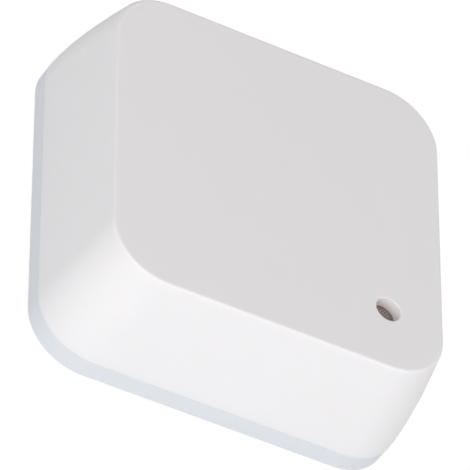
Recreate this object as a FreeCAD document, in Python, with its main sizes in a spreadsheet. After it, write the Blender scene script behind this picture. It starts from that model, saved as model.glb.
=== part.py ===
import FreeCAD, Part
import math
import os
import Sketcher
from FreeCAD import Vector

# A square, battery-powered presence sensor that clips onto a flat back plate.
# Millimetres. The origin is the centre of the mounting face, +Z points out of the front.

SIZES = {
    # moulded front housing
    "wall": 1.8,
    "face_wall": 2.0,
    "front_inset": 2.5,
    "lean_power": 1.45,
    "back_corner_radius": 8.9,
    "front_corner_radius": 8.65,
    "face_rounding": 0.4,
    "rib_width": 0.8,
    "rib_height": 0.6,
    "rib_reach": 13.0,
    "rest_width": 1.2,
    "rest_length": 2.2,
    "boss_diameter": 5.0,
    "boss_inset": 5.0,
    # sensing window near one corner
    "window_bore": 4.0,
    "window_bore_bevel": 0.1,
    "window_from_side": 11.5,
    "window_from_bottom": 13.1,
    "window_diameter": 6.0,
    "window_thickness": 0.8,
    "window_gap": 0.1,
    "collar_wall": 1.1,
    "collar_depth": 2.4,
    "retainer_hole": 3.4,
    "retainer_thickness": 0.6,
    # infrared detector
    "detector_diameter": 4.7,
    "detector_height": 2.1,
    "detector_skin": 0.25,
    "flange_diameter": 5.4,
    "flange_thickness": 0.4,
    "filter_diameter": 3.0,
    "filter_thickness": 0.4,
    "filter_opening": 2.4,
    "pin_diameter": 0.45,
    "pin_circle": 2.54,
    "pin_length": 2.2,
    "pin_gap": 0.1,
    # back plate
    "pad_proud": 0.3,
    "plate_floor": 1.7,
    "rim_height": 3.05,
    "plate_bevel": 0.2,
    "lip_height": 1.75,
    "lip_thickness": 1.15,
    "lip_gap": 0.2,
    "tongue_width": 7.0,
    "tongue_thickness": 1.2,
    "tongue_height": 4.75,
    "tongue_gap": 0.15,
    "tongue_inset": 1.0,
    "barb_reach": 0.55,
    "barb_drop": 1.8,
    "barb_flat": 0.3,
    "catch_gap": 0.15,
    "mount_hole": 3.6,
    "mount_head": 6.2,
    "mount_head_gap": 1.75,
    "pad_side": 33.0,
    "pad_corner_radius": 4.0,
    "pad_recess": 0.7,
    "pad_gap": 0.3,
    # batteries and their holder
    "cell_diameter": 10.5,
    "cell_length": 44.5,
    "cell_edge": 0.6,
    "cell_gap": 0.35,
    "cell_spacing": 1.2,
    "nub_diameter": 3.8,
    "nub_height": 1.0,
    "sleeve_thickness": 0.25,
    "sleeve_gap": 0.03,
    "sleeve_hem": 0.5,
    "cradle_gap": 0.25,
    "holder_wall": 1.2,
    "holder_floor": 1.1,
    "holder_height": 7.6,
    "holder_end_gap": 0.7,
    "finger_notch": 16.0,
    "peg_diameter": 1.6,
    "peg_inset": 5.0,
    "peg_gap": 0.1,
    "contact_thickness": 0.4,
    "contact_width": 9.0,
    "contact_drop": 6.4,
    "tab_width": 2.0,
    "tab_gap": 0.1,
    "tab_proud": 0.6,
    "spring_length": 2.6,
    "spring_wire": 0.5,
    "spring_base_radius": 3.6,
    "spring_tip_radius": 1.7,
    # circuit board and its screws
    "board_thickness": 1.0,
    "board_gap": 0.5,
    "screw_diameter": 1.9,
    "screw_gap": 0.05,
    "screw_reach": 3.0,
    "screw_spare": 0.3,
    "screw_head_diameter": 3.8,
    "screw_head_height": 1.3,
    "screw_head_bevel": 0.5,
    "screw_hole": 2.4,
    # radio module
    "radio_board_thickness": 0.8,
    "radio_board_length": 17.0,
    "radio_board_width": 13.0,
    "radio_edge": 1.4,
    "radio_y": 0.0,
    "radio_to_parts": 7.0,
    "shield_margin": 1.0,
    "shield_length": 7.6,
    "shield_height": 1.4,
    "shield_skin": 0.2,
    "antenna_thickness": 0.15,
    "antenna_trace": 0.6,
    "antenna_pitch": 1.5,
    "antenna_reach": 5.0,
    "antenna_edge": 0.6,
    # pairing button
    "switch_y": 8.0,
    "switch_side": 6.0,
    "switch_height": 3.2,
    "cover_thickness": 0.25,
    "plunger_diameter": 3.4,
    "plunger_proud": 1.4,
    "plunger_gap": 0.1,
    "plunger_flange": 0.7,
    "plunger_flange_height": 0.8,
    "plunger_travel": 0.25,
    "plunger_rounding": 0.2,
    "foot_length": 1.1,
    "foot_width": 0.7,
    "foot_thickness": 0.25,
    "foot_pitch": 4.5,
    "chip_foot_width": 0.4,
}

# parts soldered to the front of the circuit board: place from a point beside the radio board,
# size and height
BOARD_PARTS = {
    "processor_chip": (0.0, 6.0, 7.0, 7.0, 0.9),
    "amplifier_chip": (5.5, -9.5, 4.9, 3.9, 1.5),
    "timing_crystal": (0.0, 12.6, 3.2, 2.5, 0.8),
    "bulk_capacitor": (-7.5, -16.5, 7.3, 4.3, 2.1),
    "power_inductor": (10.0, 16.5, 5.0, 5.0, 2.2),
    "status_light": (8.0, -19.5, 1.6, 0.8, 0.7),
}
CAPACITOR_SIZE = (1.6, 0.8, 0.8)
CAPACITOR_PLACES = (
    (-5.6, 3.0),
    (-5.6, 6.0),
    (-5.6, 9.0),
    (5.6, 3.0),
    (5.6, 6.0),
    (5.6, 9.0),
    (5.0, 13.2),
    (5.0, 16.0),
    (0.4, -8.0),
    (0.4, -11.0),
    (0.0, -16.0),
    (4.0, -16.0),
)
AMPLIFIER_FEET = 8
PIN_TURN = 90.0
FIRST_PIN = 45.0
WALL_BANDS = 4
EDGE_BANDS = 2
SPRING_TURNS = 2.5
BENDS_IN_TURN = 4
POINTS_IN_ARC = 4
WIRE_SIDES = 6
PIN_COUNT = 3
TONGUE_SIDES = 4
ROUND = 360.0
NEAR = 1e-4

for part_name, part_values in BOARD_PARTS.items():
    for word, number in zip(("x", "y", "length", "width", "height"), part_values):
        SIZES[f"{part_name}_{word}"] = number
for word, number in zip(("length", "width", "height"), CAPACITOR_SIZE):
    SIZES[f"capacitor_{word}"] = number

doc = FreeCAD.newDocument("presence_sensor")
dim = doc.addObject("Spreadsheet::Sheet", "dim")
for row, (alias, number) in enumerate(SIZES.items(), start=1):
    dim.set(f"A{row}", alias)
    dim.set(f"B{row}", str(number))
    dim.setAlias(f"B{row}", alias)
doc.recompute()

# Levels from the mounting face to the front, each resting on the one below.
PLATE_BACK = "dim.pad_proud"
FLOOR_TOP = f"({PLATE_BACK} + dim.plate_floor)"
RIM_TOP = f"({PLATE_BACK} + dim.rim_height)"
TONGUE_TOP = f"({RIM_TOP} + dim.tongue_height)"
CELL_Z = f"({FLOOR_TOP} + dim.cell_gap + dim.cell_diameter / 2)"
HOLDER_SEAT = f"({CELL_Z} + dim.cell_diameter / 2 + dim.cradle_gap)"
BOARD_BACK = f"({HOLDER_SEAT} + dim.holder_floor)"
BOARD_FRONT = f"({BOARD_BACK} + dim.board_thickness)"
BOSS_HEIGHT = "(dim.detector_height + dim.retainer_thickness + dim.window_thickness)"
FACE_BACK = f"({BOARD_FRONT} + {BOSS_HEIGHT})"
FRONT = f"({FACE_BACK} + dim.face_wall)"
WALL_RISE = f"({FRONT} - {RIM_TOP})"
EDGE_START = f"({FRONT} - dim.face_rounding)"
ROOT = "dim.face_wall / 4"

# Widths from the batteries outwards. The housing is square.
HOLDER_INNER_HALF = "(dim.cell_length / 2 + dim.spring_length / 2 + dim.contact_thickness)"
HOLDER_HALF_LENGTH = f"({HOLDER_INNER_HALF} + dim.holder_wall)"
LIP_INNER = f"({HOLDER_HALF_LENGTH} + dim.holder_end_gap)"
LIP_OUTER = f"({LIP_INNER} + dim.lip_thickness)"
BODY_HALF = f"({LIP_OUTER} + dim.lip_gap + dim.wall)"
CELL_X = "(dim.cell_diameter / 2 + dim.cell_spacing / 2)"
CRADLE_RADIUS = "(dim.cell_diameter / 2 + dim.cradle_gap)"
HOLDER_HALF_WIDTH = f"({CELL_X} + {CRADLE_RADIUS} + dim.holder_wall)"


def rise_share(level):
    """How far up the side wall a level lies, from 0 at the parting line to 1 at the front."""
    return f"(({level} - {RIM_TOP}) / {WALL_RISE})"


def outer_half(level):
    """Half the housing's outside width at a level."""
    return f"({BODY_HALF} - dim.front_inset * {rise_share(level)} ^ dim.lean_power)"


def outer_corner(level):
    """The housing's outside corner radius at a level."""
    change = "(dim.front_corner_radius - dim.back_corner_radius)"
    return f"(dim.back_corner_radius + {change} * {rise_share(level)})"


BOARD_HALF = f"({outer_half(BOARD_FRONT)} - dim.wall - dim.board_gap)"
BOARD_CORNER = f"({outer_corner(BOARD_FRONT)} - dim.wall - dim.board_gap)"
BOSS_AT = f"({BOARD_HALF} - dim.boss_inset)"
BOSS_PLACES = (
    (f"-{BOSS_AT}", BOSS_AT),
    (BOSS_AT, BOSS_AT),
    (f"-{BOSS_AT}", f"-{BOSS_AT}"),
)
WINDOW_X = f"({BODY_HALF} - dim.window_from_side)"
WINDOW_Y = f"(dim.window_from_bottom - {BODY_HALF})"
RADIO_X = f"(dim.radio_edge + dim.radio_board_length / 2 - {BOARD_HALF})"
PARTS_X = f"({RADIO_X} + dim.radio_board_length / 2 + dim.radio_to_parts)"
DETECTOR_TOP = f"({BOARD_FRONT} + dim.detector_height)"
TONGUE_OUTER = f"({outer_half(TONGUE_TOP)} - dim.wall - dim.tongue_gap)"
TONGUE_Y = f"({BODY_HALF} - dim.back_corner_radius - dim.tongue_inset - dim.tongue_width / 2)"
BARB_BOTTOM = f"({TONGUE_TOP} - dim.barb_drop)"
MOUNT_X = f"({LIP_INNER} - dim.mount_head / 2 - dim.mount_head_gap)"
SWITCH_X = f"(({HOLDER_HALF_WIDTH} + {BOARD_HALF}) / 2)"
SWITCH_FACE = f"({BOARD_BACK} - dim.switch_height)"
COVER_FACE = f"({SWITCH_FACE} - dim.cover_thickness)"


def value(expression):
    """The number that an expression of sheet sizes gives."""
    return float(dim.evalExpression(expression))


def bind(owner, **expressions):
    """Tie properties of an object to expressions; two underscores stand for a dot."""
    for path, expression in expressions.items():
        owner.setExpression(path.replace("__", "."), expression)


def place(owner, x="0", y="0", z="0"):
    """Tie an object's position to expressions."""
    owner.setExpression("Placement.Base.x", x)
    owner.setExpression("Placement.Base.y", y)
    owner.setExpression("Placement.Base.z", z)


def new_body(name):
    """An empty body, labelled with the sub-part's name."""
    body = doc.addObject("PartDesign::Body", name)
    body.Label = name
    return body


def origin_feature(body, role):
    """One of a body's own origin planes or axes."""
    return next(item for item in body.Origin.OriginFeatures if item.Role == role)


def new_sketch(body, name, height="0", role="XY_Plane"):
    """A sketch on one of a body's origin planes, moved along that plane's normal."""
    sketch = body.newObject("Sketcher::SketchObject", name)
    sketch.AttachmentSupport = (origin_feature(body, role), [""])
    sketch.MapMode = "FlatFace"
    sketch.setExpression("AttachmentOffset.Base.z", height)
    return sketch


def fix(sketch, kind, expression, *where):
    """Add one dimension to a sketch and tie it to an expression."""
    number = sketch.addConstraint(Sketcher.Constraint(kind, *where, value(expression)))
    sketch.setExpression(f"Constraints[{number}]", expression)


def draw_circle(sketch, diameter, x="0", y="0"):
    """A circle given by its diameter and centre."""
    centre = Vector(value(x), value(y), 0)
    circle = sketch.addGeometry(Part.Circle(centre, Vector(0, 0, 1), value(diameter) / 2))
    fix(sketch, "Diameter", diameter, circle)
    fix(sketch, "DistanceX", x, -1, 1, circle, 3)
    fix(sketch, "DistanceY", y, -1, 1, circle, 3)


def draw_outline(sketch, points):
    """A closed outline of straight lines, each corner given by its two distances."""
    corners = [Vector(value(x), value(y), 0) for x, y in points]
    ends = corners[1:] + corners[:1]
    lines = [sketch.addGeometry(Part.LineSegment(a, b)) for a, b in zip(corners, ends)]
    for line, following in zip(lines, lines[1:] + lines[:1]):
        sketch.addConstraint(Sketcher.Constraint("Coincident", line, 2, following, 1))
    for line, (x, y) in zip(lines, points):
        fix(sketch, "DistanceX", x, -1, 1, line, 1)
        fix(sketch, "DistanceY", y, -1, 1, line, 1)


def draw_box(sketch, width, depth, x="0", y="0"):
    """A rectangle given by its two sides and its centre."""
    left, right = f"{x} - ({width}) / 2", f"{x} + ({width}) / 2"
    low, high = f"{y} - ({depth}) / 2", f"{y} + ({depth}) / 2"
    draw_outline(sketch, [(left, low), (right, low), (right, high), (left, high)])


def draw_round_box(sketch, width, depth, radius):
    """A rectangle about the origin with four equal round corners."""
    half_x, half_y, bend = value(width) / 2, value(depth) / 2, value(radius)
    quarter = math.pi / 2
    edges = []
    for turn, (side_x, side_y) in enumerate(((1, -1), (1, 1), (-1, 1), (-1, -1))):
        centre = Vector(side_x * (half_x - bend), side_y * (half_y - bend), 0)
        circle = Part.Circle(centre, Vector(0, 0, 1), bend)
        arc = Part.ArcOfCircle(circle, (turn - 1) * quarter, turn * quarter)
        edges.append(sketch.addGeometry(arc))
    corners = [sketch.Geometry[edge] for edge in edges]
    loop = []
    for index, edge in enumerate(edges):
        following = corners[(index + 1) % len(corners)]
        loop.append(edge)
        loop.append(sketch.addGeometry(Part.LineSegment(corners[index].EndPoint, following.StartPoint)))
    for edge, following in zip(loop, loop[1:] + loop[:1]):
        sketch.addConstraint(Sketcher.Constraint("Tangent", edge, 2, following, 1))
    right, top, left, bottom = loop[1], loop[3], loop[5], loop[7]
    for line in (right, left):
        sketch.addConstraint(Sketcher.Constraint("Vertical", line))
    for line in (top, bottom):
        sketch.addConstraint(Sketcher.Constraint("Horizontal", line))
    for arc in edges[1:]:
        sketch.addConstraint(Sketcher.Constraint("Equal", edges[0], arc))
    fix(sketch, "Radius", radius, edges[0])
    fix(sketch, "DistanceX", f"({width}) / 2", -1, 1, right, 1)
    fix(sketch, "DistanceX", f"-({width}) / 2", -1, 1, left, 1)
    fix(sketch, "DistanceY", f"({depth}) / 2", -1, 1, top, 1)
    fix(sketch, "DistanceY", f"-({depth}) / 2", -1, 1, bottom, 1)


def settle(body, feature, before, grows):
    """Recompute a body and make sure that its new feature added or removed material."""
    doc.recompute()
    after = body.Shape.Volume
    if (after > before) != grows or abs(after - before) < NEAR:
        raise ValueError(f"{feature.Label} changed the volume from {before} to {after}")
    return feature


def volume_of(body):
    """A body's volume so far, which is nothing before its first feature."""
    doc.recompute()
    return body.Shape.Volume if body.Tip or body.BaseFeature else 0.0


def extrude(body, kind, sketch, length, backwards=False, both_ways=False):
    """Pad or pocket a sketch over a length."""
    before = volume_of(body)
    feature = body.newObject(f"PartDesign::{kind}", f"{kind.lower()}_{sketch.Name}")
    feature.Profile = sketch
    feature.setExpression("Length", length)
    feature.Reversed = backwards
    if both_ways:
        feature.SideType = "Symmetric"
    return settle(body, feature, before, kind == "Pad")


def revolve(body, kind, sketch):
    """Turn a sketch once round its own vertical axis."""
    before = volume_of(body)
    feature = body.newObject(f"PartDesign::{kind}", f"{kind.lower()}_{sketch.Name}")
    feature.Profile = sketch
    feature.ReferenceAxis = (sketch, ["V_Axis"])
    feature.Angle = ROUND
    return settle(body, feature, before, kind == "Revolution")


def loft(body, kind, sections):
    """Add or remove the form that runs straight from each section to the next."""
    before = volume_of(body)
    feature = body.newObject(f"PartDesign::{kind}", f"loft_{sections[0].Name}")
    feature.Profile = sections[0]
    feature.Sections = sections[1:]
    feature.Ruled = True
    return settle(body, feature, before, kind == "AdditiveLoft")


def repeat_round(body, original, count):
    """Repeat a feature evenly round the body's vertical axis."""
    before = volume_of(body)
    grows = original.TypeId == "PartDesign::Pad"
    pattern = body.newObject("PartDesign::PolarPattern", f"round_{original.Name}")
    pattern.Originals = [original]
    pattern.Axis = (origin_feature(body, "Z_Axis"), [""])
    pattern.Angle = ROUND
    pattern.Occurrences = count
    body.Tip = pattern
    return settle(body, pattern, before, grows)


def edges_at(shape, level, inside=None):
    """Names of the edges that lie flat at a level, all or only those near enough to the axis."""
    names = []
    for number, edge in enumerate(shape.Edges, start=1):
        box = edge.BoundBox
        flat = abs(box.ZMin - level) < NEAR and abs(box.ZMax - level) < NEAR
        reach = max(abs(box.XMin), abs(box.XMax), abs(box.YMin), abs(box.YMax))
        near = inside is None or reach < inside
        if flat and near:
            names.append(f"Edge{number}")
    return names


def bevel(body, names, size):
    """Bevel named edges of a body."""
    before = volume_of(body)
    base = body.Tip
    feature = body.newObject("PartDesign::Chamfer", f"bevel_of_{base.Name}")
    feature.Base = (base, names)
    feature.setExpression("Size", size)
    return settle(body, feature, before, False)


def block(name, size, at):
    """A box of a length, width and height, centred on x and y and standing on z."""
    length, width, height = size
    x, y, z = at
    solid = doc.addObject("Part::Box", name)
    bind(solid, Length=length, Width=width, Height=height)
    place(solid, f"{x} - ({length}) / 2", f"{y} - ({width}) / 2", z)
    return solid


def rod(name, diameter, height, at):
    """An upright cylinder standing on z."""
    solid = doc.addObject("Part::Cylinder", name)
    bind(solid, Radius=f"({diameter}) / 2", Height=height)
    place(solid, *at)
    return solid


def group(name, solids):
    """Several like pieces kept together as separate solids."""
    gathered = doc.addObject("Part::Compound", name)
    gathered.Links = solids
    gathered.Label = name
    return gathered


def wall_section(body, name, level, inset):
    """A round square that lies a distance inside the housing's leaning walls at a level."""
    section = new_sketch(body, name, level)
    width = f"2 * ({outer_half(level)} - {inset})"
    draw_round_box(section, width, width, f"({outer_corner(level)} - {inset})")
    return section


def wall_sections(body, name, top, inset):
    """Sections that follow the curve of the side walls from the parting line up to a level."""
    sections = []
    for step in range(WALL_BANDS + 1):
        level = f"({RIM_TOP} + ({top} - {RIM_TOP}) * {step} / {WALL_BANDS})"
        sections.append(wall_section(body, f"{name}_{step}", level, inset))
    return sections


def edge_sections(body):
    """Sections that follow the rounded edge from the side walls to the flat face."""
    sections = []
    for step in range(1, EDGE_BANDS + 1):
        angle = math.pi / 2 * step / EDGE_BANDS
        level = f"({EDGE_START} + dim.face_rounding * {math.sin(angle):.6f})"
        inset = f"(dim.face_rounding * {1 - math.cos(angle):.6f})"
        sections.append(wall_section(body, f"edge_{step}", level, inset))
    return sections


def make_back_plate():
    """Square plate with a rim, a locating lip, eight snap tongues, screw holes and a pad recess."""
    body = new_body("back_plate")
    outline = new_sketch(body, "plate_outline", PLATE_BACK)
    draw_round_box(outline, f"2 * {BODY_HALF}", f"2 * {BODY_HALF}", "dim.back_corner_radius")
    extrude(body, "Pad", outline, "dim.rim_height")

    back_edges = edges_at(body.Shape, value(PLATE_BACK))
    bevel(body, back_edges, "dim.plate_bevel")

    inner_corner = "(dim.back_corner_radius - dim.wall - dim.lip_gap - dim.lip_thickness)"
    well = new_sketch(body, "plate_well", RIM_TOP)
    draw_round_box(well, f"2 * {LIP_INNER}", f"2 * {LIP_INNER}", inner_corner)
    extrude(body, "Pocket", well, "dim.rim_height - dim.plate_floor")

    lip = new_sketch(body, "plate_lip", RIM_TOP)
    draw_round_box(lip, f"2 * {LIP_OUTER}", f"2 * {LIP_OUTER}", f"{inner_corner} + dim.lip_thickness")
    draw_round_box(lip, f"2 * {LIP_INNER}", f"2 * {LIP_INNER}", inner_corner)
    extrude(body, "Pad", lip, "dim.lip_height")

    inner = f"({TONGUE_OUTER} - dim.tongue_thickness)"
    barb_tip = f"({TONGUE_OUTER} + dim.barb_reach)"
    for side, sign in (("left", ""), ("right", "-")):
        tongue = new_sketch(body, f"tongue_{side}", f"{sign}{TONGUE_Y}", "XZ_Plane")
        draw_outline(tongue, [
            (inner, FLOOR_TOP),
            (TONGUE_OUTER, FLOOR_TOP),
            (TONGUE_OUTER, BARB_BOTTOM),
            (barb_tip, f"{BARB_BOTTOM} + dim.barb_reach"),
            (barb_tip, f"{BARB_BOTTOM} + dim.barb_reach + dim.barb_flat"),
            (TONGUE_OUTER, TONGUE_TOP),
            (inner, TONGUE_TOP),
        ])
        pad = extrude(body, "Pad", tongue, "dim.tongue_width", both_ways=True)
        repeat_round(body, pad, TONGUE_SIDES)

    recess = new_sketch(body, "pad_recess", PLATE_BACK)
    recess_side = "dim.pad_side + 2 * dim.pad_gap"
    draw_round_box(recess, recess_side, recess_side, "dim.pad_corner_radius + dim.pad_gap")
    extrude(body, "Pocket", recess, "dim.pad_recess", backwards=True)

    holes = new_sketch(body, "mount_holes", FLOOR_TOP)
    draw_circle(holes, "dim.mount_hole", MOUNT_X)
    draw_circle(holes, "dim.mount_hole", f"-{MOUNT_X}")
    before = volume_of(body)
    hole = body.newObject("PartDesign::Hole", "countersunk_holes")
    hole.Profile = holes
    hole.DepthType = "ThroughAll"
    bind(hole, Diameter="dim.mount_hole")
    hole.HoleCutType = "Countersink"
    hole.HoleCutCustomValues = True
    bind(hole, HoleCutDiameter="dim.mount_head")
    hole.HoleCutCountersinkAngle = 90
    settle(body, hole, before, False)
    return body


def make_adhesive_pad():
    """Square foam pad that fills the recess and stands a little proud of the plate."""
    body = new_body("adhesive_pad")
    outline = new_sketch(body, "pad_outline")
    draw_round_box(outline, "dim.pad_side", "dim.pad_side", "dim.pad_corner_radius")
    extrude(body, "Pad", outline, "dim.pad_proud + dim.pad_recess")
    return body


def make_front_housing():
    """Moulded square shell with leaning walls, a window bore, bosses, ribs and snap catches."""
    body = new_body("front_housing")
    walls = wall_sections(body, "outer", EDGE_START, "0")
    loft(body, "AdditiveLoft", walls + edge_sections(body))
    loft(body, "SubtractiveLoft", wall_sections(body, "cavity", FACE_BACK, "dim.wall"))

    collar = new_sketch(body, "window_collar", f"{FACE_BACK} - dim.collar_depth")
    collar_bore = "(dim.window_diameter + 2 * dim.window_gap)"
    draw_circle(collar, f"{collar_bore} + 2 * dim.collar_wall", WINDOW_X, WINDOW_Y)
    draw_circle(collar, collar_bore, WINDOW_X, WINDOW_Y)
    extrude(body, "Pad", collar, f"dim.collar_depth + {ROOT}")

    bosses = new_sketch(body, "screw_bosses", BOARD_FRONT)
    for x, y in BOSS_PLACES:
        draw_circle(bosses, "dim.boss_diameter", x, y)
    extrude(body, "Pad", bosses, f"{BOSS_HEIGHT} + {ROOT}")

    bores = new_sketch(body, "screw_bores", BOARD_FRONT)
    for x, y in BOSS_PLACES:
        draw_circle(bores, "dim.screw_diameter + 2 * dim.screw_gap", x, y)
    extrude(body, "Pocket", bores, "dim.screw_reach + dim.screw_spare", backwards=True)

    for name, length, width in (
        ("rib_across", "2 * dim.rib_reach", "dim.rib_width"),
        ("rib_along", "dim.rib_width", "2 * dim.rib_reach"),
    ):
        rib = new_sketch(body, name, f"{FACE_BACK} - dim.rib_height")
        draw_box(rib, length, width)
        extrude(body, "Pad", rib, f"dim.rib_height + {ROOT}")

    rests = new_sketch(body, "board_rest", BOARD_FRONT)
    rest_x = f"({BOARD_HALF} + dim.board_gap + dim.wall / 4 - dim.rest_length / 2)"
    draw_box(rests, "dim.rest_length", "dim.rest_width", rest_x, f"{BOARD_HALF} / 3")
    rest = extrude(body, "Pad", rests, f"{BOSS_HEIGHT} + {ROOT}")
    repeat_round(body, rest, TONGUE_SIDES)

    bore = new_sketch(body, "window_bore", FACE_BACK)
    draw_circle(bore, "dim.window_bore", WINDOW_X, WINDOW_Y)
    extrude(body, "Pocket", bore, "2 * dim.face_wall", backwards=True)
    rim_reach = value(f"{BODY_HALF} - dim.window_from_side + dim.window_bore")
    names = edges_at(body.Shape, value(FRONT), inside=rim_reach)
    bevel(body, names, "dim.window_bore_bevel")

    catch_deep = f"({TONGUE_OUTER} + dim.barb_reach + dim.catch_gap)"
    catch_start = f"({TONGUE_OUTER} - dim.tongue_thickness / 2)"
    for side, sign in (("left", ""), ("right", "-")):
        catch = new_sketch(body, f"catch_{side}", f"{sign}{TONGUE_Y}", "XZ_Plane")
        draw_outline(catch, [
            (catch_start, BARB_BOTTOM),
            (catch_deep, BARB_BOTTOM),
            (catch_deep, TONGUE_TOP),
            (catch_start, TONGUE_TOP),
        ])
        pocket = extrude(body, "Pocket", catch, "dim.tongue_width + 2 * dim.catch_gap", both_ways=True)
        repeat_round(body, pocket, TONGUE_SIDES)
    return body


def make_turned(name, points, x="0", y="0", z="0"):
    """A round piece turned from half its section, given as distances from its axis and heights."""
    body = new_body(name)
    section = new_sketch(body, f"{name}_section", "0", "XZ_Plane")
    draw_outline(section, points)
    revolve(body, "Revolution", section)
    place(body, x, y, z)
    return body


def make_window():
    """Dark infrared window, a plain disc lying against the back of the front wall."""
    at = (WINDOW_X, WINDOW_Y, f"{FACE_BACK} - dim.window_thickness")
    return rod("sensor_window", "dim.window_diameter", "dim.window_thickness", at)


def make_retainer():
    """Foam ring squeezed between the window and the detector."""
    radius = "dim.window_diameter / 2"
    hole = "dim.retainer_hole / 2"
    top = "dim.retainer_thickness"
    points = [(hole, "0"), (radius, "0"), (radius, top), (hole, top)]
    return make_turned("window_retainer", points, WINDOW_X, WINDOW_Y, DETECTOR_TOP)


def make_detector():
    """Metal-canned infrared detector with its own filter under an opening in the can."""
    can = "dim.detector_diameter / 2"
    bore = "(dim.detector_diameter / 2 - dim.detector_skin)"
    flange = "dim.flange_diameter / 2"
    opening = "dim.filter_opening / 2"
    top = "dim.detector_height"
    lid = "(dim.detector_height - dim.detector_skin)"
    detector = make_turned("detector_can", [
        ("0", "0"),
        (flange, "0"),
        (flange, "dim.flange_thickness"),
        (can, "dim.flange_thickness"),
        (can, top),
        (opening, top),
        (opening, lid),
        (bore, lid),
        (bore, "dim.flange_thickness"),
        ("0", "dim.flange_thickness"),
    ], WINDOW_X, WINDOW_Y, BOARD_FRONT)
    at = (WINDOW_X, WINDOW_Y, f"{DETECTOR_TOP} - dim.detector_skin - dim.filter_thickness")
    glass = rod("detector_filter", "dim.filter_diameter", "dim.filter_thickness", at)
    return [detector, glass]


def pin_places():
    """Where the detector's pins stand."""
    places = []
    for number in range(PIN_COUNT):
        angle = math.radians(FIRST_PIN + PIN_TURN * number)
        x = f"({WINDOW_X} + dim.pin_circle / 2 * {math.cos(angle):.6f})"
        y = f"({WINDOW_Y} + dim.pin_circle / 2 * {math.sin(angle):.6f})"
        places.append((x, y))
    return places


def make_pins():
    """The detector's wire pins, from its flange through the board."""
    pins = []
    for number, (x, y) in enumerate(pin_places()):
        at = (x, y, f"{BOARD_FRONT} - dim.pin_length")
        pins.append(rod(f"pin_{number}", "dim.pin_diameter", "dim.pin_length", at))
    return group("detector_pins", pins)


def tab_places():
    """Where the two battery terminals pass through the board."""
    y = f"(dim.contact_thickness / 2 - {HOLDER_INNER_HALF})"
    return ((f"-{CELL_X}", y), (CELL_X, y))


def peg_places():
    """Where the battery holder's two pegs stand."""
    y = f"({HOLDER_INNER_HALF} - dim.peg_inset)"
    return (("0", y), ("0", f"-{y}"))


def make_circuit_board():
    """Square board with round corners and holes for screws, pins, pegs and battery terminals."""
    body = new_body("circuit_board")
    outline = new_sketch(body, "board_outline", BOARD_BACK)
    draw_round_box(outline, f"2 * {BOARD_HALF}", f"2 * {BOARD_HALF}", BOARD_CORNER)
    extrude(body, "Pad", outline, "dim.board_thickness")
    holes = new_sketch(body, "board_holes", BOARD_BACK)
    for x, y in BOSS_PLACES:
        draw_circle(holes, "dim.screw_hole", x, y)
    for x, y in pin_places():
        draw_circle(holes, "dim.pin_diameter + 2 * dim.pin_gap", x, y)
    for x, y in peg_places():
        draw_circle(holes, "dim.peg_diameter + 2 * dim.peg_gap", x, y)
    for x, y in tab_places():
        draw_box(holes, "dim.tab_width + 2 * dim.tab_gap", "dim.contact_thickness + 2 * dim.tab_gap", x, y)
    extrude(body, "Pocket", holes, "dim.board_thickness", backwards=True)
    return body


def make_screws():
    """Pan-head screws, driven from behind through the board into the bosses."""
    head = "dim.screw_head_diameter / 2"
    shank = "dim.screw_diameter / 2"
    under = "dim.screw_head_height"
    tip = "(dim.screw_head_height + dim.board_thickness + dim.screw_reach)"
    screws = []
    for number, (x, y) in enumerate(BOSS_PLACES):
        screws.append(make_turned(f"board_screw_{number}", [
            ("0", "0"),
            (f"{head} - dim.screw_head_bevel", "0"),
            (head, "dim.screw_head_bevel"),
            (head, under),
            (shank, under),
            (shank, tip),
            ("0", tip),
        ], x, y, f"{BOARD_BACK} - {under}"))
    return group("board_screws", screws)


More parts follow.
